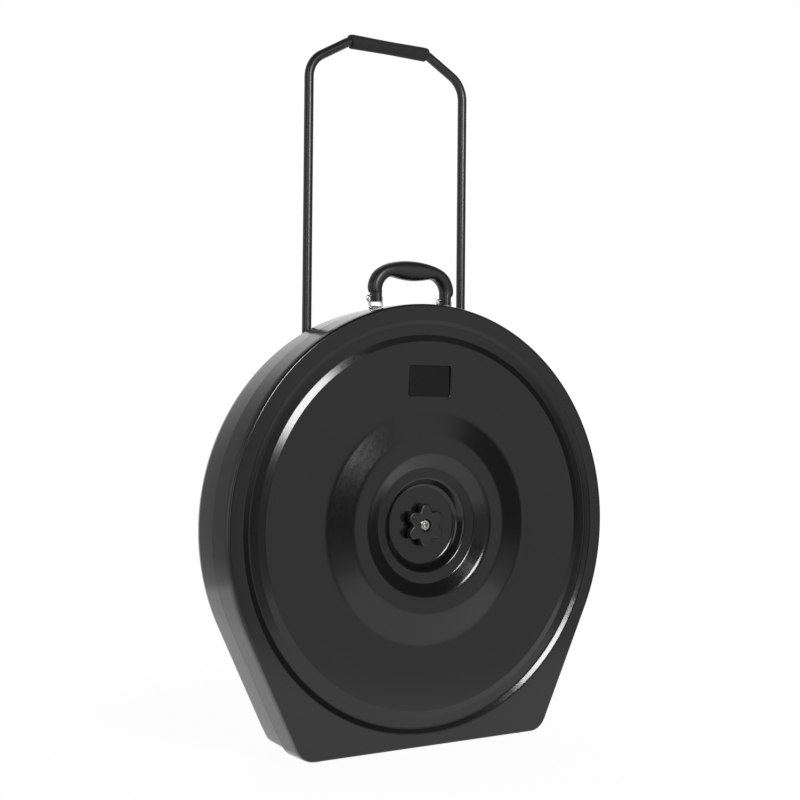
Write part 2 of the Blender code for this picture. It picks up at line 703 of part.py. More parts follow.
def badge_plate():
    """Bare plate with rounded corners in the lid's pocket."""
    half = Vector((PLATE_WIDTH / 2 - PLATE_CORNER, PLATE_HEIGHT / 2 - PLATE_CORNER))
    outline = []
    for quarter, (x, z) in enumerate(((1, 1), (-1, 1), (-1, -1), (1, -1))):
        for i in range(EDGE_STEPS + 1):
            turn = (quarter + i / EDGE_STEPS) * math.pi / 2
            outline.append((x * half.x + PLATE_CORNER * math.cos(turn),
                            z * half.y + PLATE_CORNER * math.sin(turn)))
    back = POCKET_FLOOR_DEPTH - CLEARANCE
    rings = [[at(x, depth, PLATE_LEVEL + z) for x, z in outline]
             for depth in (back - PLATE_THICKNESS, back)]
    return loft("badge_plate", rings, PLATE)


BOLT_TIP_DEPTH = WELL_DEPTH - BOLT_TIP_RISE
REAR_INNER_FACE = CASE_DEPTH - REAR_RECESS_DEPTH - WALL
BACKING_FRONT = REAR_INNER_FACE - CLEARANCE - BACKING_THICKNESS
NUT_FRONT = BACKING_FRONT - CLEARANCE - NUT_HEIGHT
REAR_FELT_FRONT = NUT_FRONT - CLEARANCE - FELT_THICKNESS
WASHER_BACK = CASE_DEPTH - REAR_RECESS_DEPTH + CLEARANCE + WASHER_THICKNESS
LID_INNER_FACE = WELL_DEPTH + WALL
LID_FELT_BACK = LID_INNER_FACE + CLEARANCE + FELT_THICKNESS


def depth_sleeve(name, inner, outer, front, back, material, sides=SMALL_SIDES):
    """Ring around the case's axis between two depths."""
    return turned(name, sleeve_profile(inner, outer, front, back), at(0, 0, 0), "Y", sides, material)


def bolt_parts():
    """Bolt from the rear face to the knob, with its washers, nut, sleeve and felts."""
    head_front = WASHER_BACK + CLEARANCE
    head = solid("bolt_head", [bar(HEX_RADIUS, at(0, head_front, 0),
                                   at(0, head_front + HEX_HEAD_HEIGHT, 0), HEX_SIDES)])
    root = head_front + HEX_HEAD_HEIGHT / 2
    profile = [(0, root), (BOLT_RADIUS, root), (BOLT_RADIUS, BOLT_TIP_DEPTH + BOLT_TIP_CHAMFER),
               (BOLT_RADIUS - BOLT_TIP_CHAMFER, BOLT_TIP_DEPTH), (0, BOLT_TIP_DEPTH)]
    bolt = turned("centre_bolt", profile, at(0, 0, 0), "Y", SMALL_SIDES, STEEL)
    boolean(bolt, head, "UNION")

    depth_sleeve("rear_bolt_washer", BOLT_HOLE_RADIUS, WASHER_RADIUS,
                 WASHER_BACK - WASHER_THICKNESS, WASHER_BACK, STEEL)
    depth_sleeve("backing_plate", BOLT_HOLE_RADIUS, BACKING_RADIUS,
                 BACKING_FRONT, BACKING_FRONT + BACKING_THICKNESS, STEEL, ROUND_SIDES)
    nut = solid("lock_nut", [bar(HEX_RADIUS, at(0, NUT_FRONT, 0),
                                 at(0, NUT_FRONT + NUT_HEIGHT, 0), HEX_SIDES)], STEEL)
    bore = [bar(BOLT_HOLE_RADIUS, at(0, NUT_FRONT - OVERRUN, 0), at(0, CASE_DEPTH, 0))]
    boolean(nut, solid("nut_bore", bore))
    depth_sleeve("bolt_sleeve", BOLT_HOLE_RADIUS, SLEEVE_RADIUS,
                 LID_FELT_BACK + CLEARANCE, NUT_FRONT - CLEARANCE, NYLON)
    hole = SLEEVE_RADIUS + CLEARANCE
    depth_sleeve("felt_washer_rear", hole, FELT_RADIUS,
                 REAR_FELT_FRONT, REAR_FELT_FRONT + FELT_THICKNESS, FELT)
    depth_sleeve("felt_washer_front", hole, FELT_RADIUS,
                 LID_FELT_BACK - FELT_THICKNESS, LID_FELT_BACK, FELT)


def foam_pads():
    """Foam ring on the rear shell, and one that follows the lid's dish."""
    back = CASE_DEPTH - WALL - CLEARANCE
    depth_sleeve("foam_pad_rear", REAR_PAD_HOLE_RADIUS, REAR_PAD_RADIUS,
                 back - REAR_PAD_THICKNESS, back, FOAM, ROUND_SIDES)

    band, dish = LID_INSIDE[BAND_CORNER], LID_INSIDE[BAND_CORNER + 1]
    slope = (dish.y - band.y) / (dish.x - band.x)
    hole = band.x + LID_PAD_MARGIN
    rim = dish.x - LID_PAD_MARGIN
    front = [band.y + slope * (radius - band.x) + CLEARANCE for radius in (hole, rim)]
    profile = [(rim, front[1] + LID_PAD_THICKNESS), (rim, front[1]),
               (hole, front[0]), (hole, front[0] + LID_PAD_THICKNESS)]
    pad = turned("foam_pad_front", profile, at(0, 0, 0), "Y", ROUND_SIDES, FOAM)
    grow = PLATE_FRAME_GAP + WALL + CLEARANCE
    relief = plate_block(grow, POCKET_FLOOR_DEPTH + WALL + CLEARANCE)
    boolean(pad, solid("pad_relief", [relief]))


KNOB_WASHER_FRONT = WELL_DEPTH - CLEARANCE - KNOB_WASHER_THICKNESS
KNOB_BACK = KNOB_WASHER_FRONT - CLEARANCE
KNOB_FRONT = KNOB_BACK - KNOB_HEIGHT


def star_ring(outer, depth):
    """Outline of the knob with one lobe straight up, or a circle of the same points."""
    points = []
    count = KNOB_LOBES * 2 * EDGE_STEPS
    for i in range(count):
        turn = math.pi / 2 + math.tau * i / count
        lobe = (1 + math.cos(KNOB_LOBES * (turn - math.pi / 2))) / 2
        reach = outer
        if outer > KNOB_HUB_RADIUS:
            reach = outer - (KNOB_RADIUS - KNOB_VALLEY_RADIUS) * (1 - lobe)
        points.append(at(reach * math.cos(turn), depth, reach * math.sin(turn)))
    return points


def knob_parts():
    """Six-lobed knob with a hex insert, on its own washer."""
    head_back = KNOB_FRONT + KNOB_HEAD_HEIGHT
    rings = [star_ring(KNOB_RADIUS - KNOB_EDGE, KNOB_FRONT),
             star_ring(KNOB_RADIUS, KNOB_FRONT + KNOB_EDGE),
             star_ring(KNOB_RADIUS, head_back - KNOB_EDGE),
             star_ring(KNOB_RADIUS - KNOB_EDGE, head_back),
             star_ring(KNOB_HUB_RADIUS, head_back),
             star_ring(KNOB_HUB_RADIUS, KNOB_BACK)]
    knob = loft("star_knob", rings, PLASTIC)
    seat = KNOB_FRONT + INSERT_SETBACK + INSERT_HEIGHT + CLEARANCE
    boolean(knob, solid("knob_bore", [
        bar(KNOB_BORE_RADIUS, at(0, KNOB_FRONT - OVERRUN, 0), at(0, seat, 0))]))
    boolean(knob, solid("knob_hole", [
        bar(INSERT_BORE_RADIUS, at(0, KNOB_FRONT, 0), at(0, WELL_DEPTH, 0))]))

    front = KNOB_FRONT + INSERT_SETBACK
    insert = solid("knob_insert", [bar(HEX_RADIUS, at(0, front, 0),
                                       at(0, front + INSERT_HEIGHT, 0), HEX_SIDES)], STEEL)
    boolean(insert, solid("insert_bore", [
        bar(INSERT_BORE_RADIUS, at(0, KNOB_FRONT - OVERRUN, 0), at(0, WELL_DEPTH, 0))]))
    depth_sleeve("knob_washer", INSERT_BORE_RADIUS, KNOB_WASHER_RADIUS,
                 KNOB_WASHER_FRONT, KNOB_WASHER_FRONT + KNOB_WASHER_THICKNESS, STEEL)


def handle_section(outer, inner, half_thickness):
    """Rounded section between an outer and an inner point of the handle's outline."""
    middle = (outer + inner) / 2
    half = (outer - inner) / 2
    points = []
    for i in range(HANDLE_SIDES):
        turn = math.tau * i / HANDLE_SIDES
        across = math.copysign(abs(math.cos(turn)) ** (2 / HANDLE_SQUARENESS), math.cos(turn))
        deep = math.copysign(abs(math.sin(turn)) ** (2 / HANDLE_SQUARENESS), math.sin(turn))
        place_now = middle + half * across
        points.append(at(place_now.x, HANDLE_DEPTH + half_thickness * deep, place_now.y))
    return points


def carry_handle():
    """Moulded arch, lofted from post to post, with a hole for each ring."""
    def outline(shares):
        return [Vector((x * HANDLE_HALF_SPAN, HANDLE_FOOT + z * HANDLE_RISE)) for x, z in shares]
    mirror = Vector((-1, 1))
    rings = []
    halves = zip(outline(HANDLE_OUTER_SHARES), outline(HANDLE_INNER_SHARES), HANDLE_THICKNESS_SHARES)
    sections = list(halves)
    for outer, inner, share in sections:
        rings.append(handle_section(outer, inner, share * HANDLE_HALF_THICKNESS))
    for outer, inner, share in reversed(sections[:-1]):
        rings.append(handle_section(outer * mirror, inner * mirror, share * HANDLE_HALF_THICKNESS))
    handle = loft("carry_handle", rings, PLASTIC)
    span = HANDLE_HALF_SPAN + OVERRUN
    hole = bar(RING_HOLE_RADIUS, at(-span, HANDLE_DEPTH, RING_UPPER),
               at(span, HANDLE_DEPTH, RING_UPPER), TINY_SIDES)
    return boolean(handle, solid("ring_hole", [hole]))


def handle_ring(name, x):
    """Closed wire ring whose left leg ends in an ear beside the post; both rings are alike."""
    ear_x = -RING_HALF_WIDTH - RING_SPREAD
    ear_side = ear_x - RING_EAR_RADIUS
    ear_level = RING_UPPER - RING_EAR_RADIUS
    knee_level = ear_level - RING_EAR_RADIUS - RING_WIRE_RADIUS
    outline = [(0, RING_LOWER), (RING_HALF_WIDTH, RING_LOWER), (RING_TOP_HALF_WIDTH, RING_UPPER),
               (ear_side, RING_UPPER), (ear_side, ear_level - RING_WIRE_RADIUS),
               (ear_x + CLEARANCE, knee_level), (-RING_HALF_WIDTH, RING_LOWER), (0, RING_LOWER)]
    bends = ((RING_CORNER, FINE_STEPS), (RING_CORNER, FINE_STEPS), (RING_EAR_RADIUS, EDGE_STEPS),
             (RING_EAR_RADIUS, FINE_STEPS), (RING_KNEE_RADIUS, CHAMFER_STEPS), (RING_CORNER, FINE_STEPS))
    corners = [at(x + reach, HANDLE_DEPTH, level) for reach, level in outline]
    points = rounded_path(corners, bends)[:-1]
    curve = polyline_curve(name, points, RING_WIRE_RADIUS, WIRE_RESOLUTION, closed=True)
    return place(name, curve, CHROME)


def saddle_outline(half_span, thickness, inner, rise, steps):
    """Half-round saddle with flat ears: points of (across, height above the seat)."""
    outer = inner + thickness
    arc = [i * math.pi / steps for i in range(steps + 1)]
    foot = math.asin((thickness - rise) / outer) if rise < thickness else 0
    over = [foot + (math.pi - 2 * foot) * i / steps for i in range(steps + 1)]
    points = [(half_span, 0), (half_span, thickness)]
    if rise > thickness:
        points.append((outer, thickness))
    points += [(outer * math.cos(turn), rise + outer * math.sin(turn)) for turn in over]
    if rise > thickness:
        points.append((-outer, thickness))
    points += [(-half_span, thickness), (-half_span, 0), (-inner, 0)]
    points += [(inner * math.cos(turn), rise + inner * math.sin(turn)) for turn in reversed(arc)]
    points.append((inner, 0))
    return points


def handle_bracket(name, x):
    """Strap over a ring's lower bar, with a flat ear before and behind."""
    inner = RING_WIRE_RADIUS + BRACKET_PLAY
    seat = SEAT_LEVEL + CLEARANCE
    outline = saddle_outline(BRACKET_HALF_DEPTH, BRACKET_THICKNESS, inner, RING_LOWER - seat,
                             BRACKET_STEPS)
    rings = [[at(x + end, HANDLE_DEPTH + across, seat + up) for across, up in outline]
             for end in (-BRACKET_HALF_LENGTH, BRACKET_HALF_LENGTH)]
    bracket = loft(name, rings, STEEL)
    holes = []
    for reach in RIVET_REACHES.values():
        low = at(x, HANDLE_DEPTH + reach, SEAT_LEVEL - OVERRUN)
        high = at(x, HANDLE_DEPTH + reach, SEAT_LEVEL + OVERRUN)
        holes.append(bar(BRACKET_RIVET_RADIUS + CLEARANCE, low, high, TINY_SIDES))
    return boolean(bracket, solid(f"{name}_holes", holes))


def rivet_profile(grip, shank_radius, head_radius, head_height):
    """Section of a rivet whose shank starts at zero and ends under its head."""
    return [(0, grip + head_height), (head_radius - head_height / 2, grip + head_height),
            (head_radius, grip), (shank_radius, grip), (shank_radius, 0), (0, 0)]


def bracket_rivets(side, x):
    """Two rivets that hold one bracket on its seat."""
    grip = WALL + CLEARANCE + BRACKET_THICKNESS + CLEARANCE
    profile = rivet_profile(grip, BRACKET_RIVET_RADIUS, BRACKET_RIVET_HEAD, BRACKET_RIVET_HEAD_HEIGHT)
    for end, reach in RIVET_REACHES.items():
        spot = at(x, HANDLE_DEPTH + reach, SEAT_LEVEL - WALL)
        turned(f"bracket_rivet_{side}_{end}", profile, spot, "Z", TINY_SIDES, STEEL)


def swept_mesh(name, path, radius, caps):
    """Mesh of a round tube along a path."""
    curve = polyline_curve(name, path, radius, TUBE_RESOLUTION, caps=caps)
    guide = bpy.data.objects.new(name, curve)
    GUIDES.objects.link(guide)
    bpy.context.view_layer.update()
    evaluated = guide.evaluated_get(bpy.context.evaluated_depsgraph_get())
    mesh = bpy.data.meshes.new_from_object(evaluated)
    bpy.data.objects.remove(guide, do_unlink=True)
    bm = bmesh.new()
    bm.from_mesh(mesh)
    bmesh.ops.remove_doubles(bm, verts=bm.verts, dist=MERGE_DISTANCE)
    bm.to_mesh(mesh)
    bm.free()
    mesh.shade_smooth()
    mesh.set_sharp_from_angle(angle=SMOOTH_ANGLE)
    return mesh


def trolley_path():
    """Centre line of the trolley handle, from one leg's foot to the other's."""
    half = [(TROLLEY_X, LEG_FOOT), (TROLLEY_X, TROLLEY_SHOULDER), (TROLLEY_BAR_HALF, TROLLEY_BAR)]
    corners = [at(x, TROLLEY_DEPTH, z) for x, z in half]
    corners += [at(-x, TROLLEY_DEPTH, z) for x, z in reversed(half)]
    shoulder = (TROLLEY_BEND, BEND_STEPS)
    bar_end = (TROLLEY_BAR_BEND, FINE_STEPS)
    return rounded_path(corners, (shoulder, bar_end, bar_end, shoulder))


def between_sides(path, limit):
    """Stretch of a path that lies within a distance of the middle plane."""
    stretch = []
    for point, after in zip(path, path[1:]):
        here = abs(point.x) - limit
        there = abs(after.x) - limit
        if here <= 0:
            stretch.append(point)
        if here * there < 0:
            stretch.append(point.lerp(after, here / (here - there)))
    return stretch


def trolley_tube():
    """Hollow steel tube: two legs, sloping shoulders and a top bar."""
    mesh = swept_mesh("trolley_tube", trolley_path(), TROLLEY_RADIUS, caps=False)
    tube = place("trolley_tube", mesh, PAINTED_TUBE)
    wall = tube.modifiers.new("wall", "SOLIDIFY")
    wall.thickness = TROLLEY_WALL
    wall.offset = -1
    wall.use_even_offset = True
    return tube


def trolley_grip():
    """Foam sleeve over the top bar, which droops with the tube at its ends."""
    path = trolley_path()
    sleeve = swept_mesh("trolley_grip", between_sides(path, GRIP_HALF_LENGTH), GRIP_RADIUS, caps=True)
    grip = place("trolley_grip", sleeve, GRIP_FOAM)
    bore = swept_mesh("grip_bore", path, TROLLEY_RADIUS + CLEARANCE, caps=True)
    return boolean(grip, place("grip_bore", bore))


def upright(name, profile, x, level, material, sides=SMALL_SIDES):
    """Turned piece on a trolley leg's axis."""
    return turned(name, profile, at(x, TROLLEY_DEPTH, level), "Z", sides, material)


def guide_parts(side, x):
    """Guide tube of one leg, with its collar, its end cap and the leg's own stop."""
    length = GUIDE_TOP - GUIDE_BOTTOM
    tube = sleeve_profile(GUIDE_BORE, GUIDE_RADIUS, 0, length)
    upright(f"guide_tube_{side}", tube, x, GUIDE_BOTTOM, PAINTED_TUBE)

    throat = TROLLEY_RADIUS + CLEARANCE
    spigot = GUIDE_BORE - CLEARANCE
    rim = COLLAR_HEIGHT + CLEARANCE
    collar = [(COLLAR_RADIUS - COLLAR_EDGE, rim), (COLLAR_RADIUS, rim - COLLAR_EDGE),
              (COLLAR_RADIUS, CLEARANCE), (spigot, CLEARANCE), (spigot, -SPIGOT_LENGTH),
              (throat, -SPIGOT_LENGTH), (throat, rim)]
    upright(f"guide_collar_{side}", collar, x, GUIDE_TOP, PLASTIC)

    cap = [(0, CAP_SPIGOT), (spigot, CAP_SPIGOT), (spigot, -CLEARANCE), (GUIDE_RADIUS, -CLEARANCE),
           (GUIDE_RADIUS, -CAP_HEIGHT), (0, -CAP_HEIGHT)]
    upright(f"guide_end_cap_{side}", cap, x, GUIDE_BOTTOM, PLASTIC)

    plug = TROLLEY_RADIUS - TROLLEY_WALL - CLEARANCE - PLUG_EASE
    stop = [(0, STOP_SPIGOT), (plug, STOP_SPIGOT), (plug, -CLEARANCE), (spigot, -CLEARANCE),
            (spigot, -STOP_HEIGHT), (0, -STOP_HEIGHT)]
    upright(f"tube_stop_{side}", stop, x, LEG_FOOT, PLASTIC)


def clamp_parts(side, x):
    """Two saddle clamps over one guide tube, each held by a rivet at either ear."""
    inner = GUIDE_RADIUS + CLEARANCE
    seat = CASE_DEPTH + CLEARANCE
    half_span = inner + CLAMP_THICKNESS + CLAMP_EAR
    outline = saddle_outline(half_span, CLAMP_THICKNESS, inner, TROLLEY_DEPTH - seat, SADDLE_STEPS)
    grip = WALL + CLEARANCE + CLAMP_THICKNESS + CLEARANCE
    rivet = rivet_profile(grip, CLAMP_RIVET_RADIUS, CLAMP_RIVET_HEAD, CLAMP_RIVET_HEAD_HEIGHT)
    for level, height in CLAMP_HEIGHTS.items():
        rings = [[at(x + across, seat + up, height + edge) for across, up in outline]
                 for edge in (-CLAMP_HALF_WIDTH, CLAMP_HALF_WIDTH)]
        name = f"guide_clamp_{level}_{side}"
        clamp = loft(name, rings, STEEL)
        holes = []
        for ear, sign in SIDE_SIGNS.items():
            reach = x + sign * CLAMP_RIVET_REACH
            holes.append(bar(CLAMP_RIVET_RADIUS + CLEARANCE, at(reach, CASE_DEPTH - OVERRUN, height),
                             at(reach, CASE_DEPTH + 2 * OVERRUN, height), TINY_SIDES))
            turned(f"{name}_rivet_{ear}", rivet, at(reach, CASE_DEPTH - WALL, height), "Y",
                   TINY_SIDES, STEEL)
        boolean(clamp, solid(f"{name}_holes", holes))


def wheel_parts(side, x):
    """Tyre, webbed hub and riveted axle of one wheel."""
    centre = at(x, WHEEL_DEPTH, WHEEL_LEVEL)
    half = WHEEL_WIDTH / 2
    rim = WHEEL_RADIUS - TYRE_THICKNESS
    tyre = [(WHEEL_RADIUS - TYRE_SHOULDER, half), (WHEEL_RADIUS, half - TYRE_SHOULDER),
            (WHEEL_RADIUS, TYRE_SHOULDER - half), (WHEEL_RADIUS - TYRE_SHOULDER, -half),
            (rim, -half), (rim, half)]
    turned(f"wheel_tyre_{side}", tyre, centre, "X", ROUND_SIDES, RUBBER)

    felly = rim - CLEARANCE
    boss = ARCH_HALF_WIDTH - CLEARANCE
    bore = AXLE_RADIUS + CLEARANCE
    hub = [(HUB_BOSS_RADIUS, boss), (HUB_BOSS_RADIUS, HUB_WEB_HALF),
           (felly - HUB_RIM, HUB_WEB_HALF), (felly - HUB_RIM, half), (felly, half),
           (felly, -half), (felly - HUB_RIM, -half), (felly - HUB_RIM, -HUB_WEB_HALF),
           (HUB_BOSS_RADIUS, -HUB_WEB_HALF), (HUB_BOSS_RADIUS, -boss), (bore, -boss), (bore, boss)]
    wheel = turned(f"wheel_hub_{side}", hub, centre, "X", ROUND_SIDES, PLASTIC)
    ring = (HUB_BOSS_RADIUS + felly - HUB_RIM) / 2
    holes = []
    for i in range(HUB_HOLES):
        turn = math.tau * i / HUB_HOLES
        spot = centre + Vector((0, ring * math.cos(turn), ring * math.sin(turn)))
        reach = Vector((half, 0, 0))
        holes.append(bar(HUB_HOLE_RADIUS, spot - reach, spot + reach, TINY_SIDES))
    boolean(wheel, solid(f"wheel_hub_{side}_holes", holes))

    seat = ARCH_HALF_WIDTH + WALL + CLEARANCE
    end = seat + AXLE_HEAD_HEIGHT
    axle = [(0, end), (AXLE_HEAD_RADIUS, end), (AXLE_HEAD_RADIUS, seat), (AXLE_RADIUS, seat),
            (AXLE_RADIUS, -seat), (AXLE_HEAD_RADIUS, -seat), (AXLE_HEAD_RADIUS, -end), (0, -end)]
    turned(f"wheel_axle_{side}", axle, centre, "X", SMALL_SIDES, STEEL)


def foot(side, x):
    """Rubber foot with a barbed stem through the lid's base."""
    under = lid_base_level(FOOT_DEPTH + FOOT_RADIUS) - CLEARANCE
    inside = lid_base_level(FOOT_DEPTH - FOOT_RADIUS) + WALL + CLEARANCE
    bottom = -CENTRE_HEIGHT
    profile = [(0, inside + FOOT_BARB_HEIGHT), (FOOT_STEM_RADIUS, inside + FOOT_BARB_HEIGHT),
               (FOOT_BARB_RADIUS, inside), (FOOT_STEM_RADIUS, inside), (FOOT_STEM_RADIUS, under),
               (FOOT_RADIUS, under), (FOOT_RADIUS, bottom + FOOT_EDGE),
               (FOOT_RADIUS - FOOT_EDGE, bottom), (0, bottom)]
    turned(f"foot_{side}", profile, at(x, FOOT_DEPTH, 0), "Z", SMALL_SIDES, RUBBER)


def hang(names, pivot_name, point):
    """Parent moving pieces to an empty on their joint's axis."""
    pivot = bpy.data.objects.new(pivot_name, None)
    GUIDES.objects.link(pivot)
    pivot.location = point
    for name in names:
        piece = bpy.data.objects[name]
        piece.parent = pivot
        piece.matrix_parent_inverse = Matrix.Translation(-point)


def build():
    """Make every piece and hang the moving ones on their pivots."""
    front_shell()
    rear_shell()
    badge_plate()
    bolt_parts()
    foam_pads()
    knob_parts()
    carry_handle()
    trolley_tube()
    trolley_grip()
    for side, sign in SIDE_SIGNS.items():
        handle_ring(f"handle_ring_{side}", sign * RING_X)
        handle_bracket(f"handle_bracket_{side}", sign * RING_X)
        bracket_rivets(side, sign * RING_X)
        guide_parts(side, sign * TROLLEY_X)
        clamp_parts(side, sign * TROLLEY_X)
        wheel_parts(side, sign * WHEEL_X)
        foot(side, sign * FOOT_X)

    lid = ["front_shell", "badge_plate", "foam_pad_front", "felt_washer_front",
           "foot_left", "foot_right"]
    hang(lid, "lid_pivot", at(0, 0, 0))
    hang(["knob_washer", "star_knob", "knob_insert"], "knob_pivot", at(0, KNOB_BACK, 0))
    hang(["carry_handle"], "handle_pivot", at(0, HANDLE_DEPTH, RING_UPPER))
    hang(["trolley_tube", "trolley_grip", "tube_stop_left", "tube_stop_right"],
         "trolley_pivot", at(0, TROLLEY_DEPTH, TROLLEY_BAR))
    for side, sign in SIDE_SIGNS.items():
        hang([f"handle_ring_{side}"], f"ring_pivot_{side}", at(sign * RING_X, HANDLE_DEPTH, RING_LOWER))
        hang([f"wheel_tyre_{side}", f"wheel_hub_{side}"], f"wheel_pivot_{side}",
             at(sign * WHEEL_X, WHEEL_DEPTH, WHEEL_LEVEL))


build()
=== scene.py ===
"""Looks of a wheeled hard case for a stack of cymbals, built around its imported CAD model.

Lengths are in metres, +Z is up and +Y runs from the lid to the rear. Each piece takes
the place, the body and the material slot of the CAD node that it stands for.
"""

import json
import math

import bmesh
import bpy
from mathutils import Matrix, Vector, noise


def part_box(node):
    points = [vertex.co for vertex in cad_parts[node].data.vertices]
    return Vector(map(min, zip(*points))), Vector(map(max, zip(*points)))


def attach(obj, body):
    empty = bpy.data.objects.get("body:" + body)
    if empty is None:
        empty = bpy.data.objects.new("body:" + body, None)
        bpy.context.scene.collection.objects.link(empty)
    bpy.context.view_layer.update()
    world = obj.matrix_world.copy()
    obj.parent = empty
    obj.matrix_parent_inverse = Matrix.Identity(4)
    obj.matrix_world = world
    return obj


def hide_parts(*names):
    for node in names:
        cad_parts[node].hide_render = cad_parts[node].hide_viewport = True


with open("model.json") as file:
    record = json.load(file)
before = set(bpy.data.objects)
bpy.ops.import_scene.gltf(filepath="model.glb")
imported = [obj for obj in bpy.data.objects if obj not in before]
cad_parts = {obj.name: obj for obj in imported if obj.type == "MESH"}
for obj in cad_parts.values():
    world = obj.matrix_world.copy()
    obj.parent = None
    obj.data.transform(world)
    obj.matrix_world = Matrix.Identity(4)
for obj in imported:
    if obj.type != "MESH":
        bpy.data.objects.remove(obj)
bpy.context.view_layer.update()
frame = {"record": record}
BEHAVIOUR = frame["record"]["behaviour"]
BODY_OF = {node: body for body, nodes in BEHAVIOUR["bodies"].items() for node in nodes}
SLOT_OF = {row["node"]: row["material_slot"] for row in frame["record"]["subparts"]}
SIDE_SIGNS = {"left": -1, "right": 1}


def middle(node):
    """Middle of a CAD node's box."""
    low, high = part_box(node)
    return (low + high) / 2


# Fits and cutter lengths
CLEARANCE = 0.0003
OVERRUN = 0.004

# Both shells
WALL = 0.0035
LID_DRAFT = 0.0015
LID_FRONT_GROWTH = 0.0013
LID_SHOULDER = 0.001
LID_SHOULDER_DEPTH = 0.0085
LID_SHOULDER_RADIUS = 0.060
REAR_DRAFT = 0.001
SIDE_LEAN = math.radians(25.4)
CORNER_RADIUS = 0.027
CORNER_RADIUS_LEAST = 0.003
LID_EDGE_RADIUS = 0.0033
REAR_EDGE_RADIUS = 0.028
REAR_RIM_WIDTH = 0.110
LIP_LENGTH = 0.008
LIP_THICKNESS = 0.0025
FLANGE_DEPTH = 0.010
FLANGE_SLOPE = 0.004
SEAM_EDGE = 0.0003

LID_LOW, LID_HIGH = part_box("front_shell")
FRONT_Y = LID_LOW.y
CENTRE_HEIGHT = middle("centre_bolt").z
SEAM_DEPTH = LID_HIGH.y - FRONT_Y
CASE_RADIUS = LID_HIGH.z - CENTRE_HEIGHT - LID_DRAFT
BASE_DROP = CENTRE_HEIGHT - LID_LOW.z - LID_DRAFT
CASE_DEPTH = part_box("rear_shell")[1].y - FRONT_Y
REAR_START = SEAM_DEPTH + CLEARANCE
BASE_STEP = 0.006
REAR_DROP = BASE_DROP - BASE_STEP

# Rings moulded into the lid
LAND_RADIUS = CASE_RADIUS - 0.0207
GROOVE_OUTER_RADIUS = LAND_RADIUS - 0.0086
GROOVE_INNER_RADIUS = GROOVE_OUTER_RADIUS - 0.0132
GROOVE_DEPTH = 0.004
GROOVE_INNER_DEPTH = 0.0031
DISH_RADIUS = GROOVE_INNER_RADIUS - 0.0097
DISH_EDGE_DEPTH = 0.0005
BAND_OUTER_RADIUS = 0.165
DISH_DEPTH = 0.0075
BAND_INNER_RADIUS = 0.125
BOSS_RADIUS = 0.101
STEP_RADIUS = 0.0815
STEP_DEPTH = 0.011
WELL_RIM_RADIUS = 0.0652
WELL_RIM_DEPTH = 0.0125
WELL_FLOOR_RADIUS = 0.0567
WELL_DEPTH = 0.025
LID_HOLE_RADIUS = 0.0072
BOSS_CORNER = 0.018
STEP_CORNER = 0.007
BAND_CORNER = 0.045
GROOVE_CORNER = 0.004
GROOVE_SOFT_CORNER = 0.008
WELL_CORNER = 0.0055
WELL_FLOOR_CORNER = 0.009
RIM_FROM = (LAND_RADIUS + CASE_RADIUS) / 2

# Rim and back of the rear shell
REAR_RIM_FROM = CASE_RADIUS - REAR_RIM_WIDTH
REAR_RECESS_RADIUS = 0.052
REAR_RECESS_SLOPE = 0.006
REAR_RECESS_DEPTH = 0.005
REAR_RECESS_CORNER = 0.003

# Plate and its pocket
PLATE_LOW, PLATE_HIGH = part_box("badge_plate")
PLATE_HALF_X = (PLATE_HIGH.x - PLATE_LOW.x) / 2
PLATE_HALF_Z = (PLATE_HIGH.z - PLATE_LOW.z) / 2
PLATE_LEVEL = middle("badge_plate").z - CENTRE_HEIGHT
PLATE_CORNER = 0.003
PLATE_EDGE = 0.0003
PLATE_FRAME_GAP = 0.0007
POCKET_EDGE = 0.0012
POCKET_FLOOR_DEPTH = PLATE_HIGH.y - FRONT_Y + CLEARANCE

# Centre bolt and what is threaded on it
BOLT_RADIUS = 0.004
BOLT_TIP_CHAMFER = 0.0008
BOLT_HOLE_RADIUS = 0.0043
BOLT_MARK_RADIUS = 0.0024
BOLT_MARK_FLOOR_RADIUS = BOLT_MARK_RADIUS * 0.8
BOLT_MARK_DEPTH = 0.004
HEX_SIDES = 6
HEX_RADIUS = 0.0075
HEX_TURNED_SHARE = 0.97
HEX_CHAMFER = 0.0009
THREAD_PITCH = 0.00125
THREAD_DEPTH = 0.0006
THREAD_STEPS = 8
WASHER_RADIUS = 0.012
WASHER_EDGE = 0.0003
BACKING_RADIUS = 0.040
SLEEVE_RADIUS = 0.0063
SLEEVE_EDGE = 0.0006

# Felts and foam rings
FELT_RADIUS = 0.025
FELT_EDGE = 0.0016
FELT_RELIEF = 0.00025
FELT_WAVES = 260.0
PAD_REAR_RADIUS = 0.114
PAD_REAR_HOLE = 0.056
PAD_FRONT_HOLE = 0.172
PAD_THICKNESS = 0.010
PAD_EDGE = 0.0035
PAD_SPACING = 0.004
PAD_RELIEF = 0.0006
PAD_WAVES = 45.0

# Star knob
KNOB_RADIUS = 0.030
KNOB_VALLEY_RADIUS = 0.0215
KNOB_LOBES = 6
KNOB_HEAD_HEIGHT = 0.0095
KNOB_EDGE = 0.0026
KNOB_HUB_RADIUS = 0.014
KNOB_BORE_RADIUS = 0.0088
KNOB_BORE_EDGE = 0.0008
VALLEY_SHARPNESS = 1.7
KNOB_HUB_FLARE = 0.001
KNOB_HUB_EDGE = 0.0003
KNOB_WASHER_RADIUS = 0.016

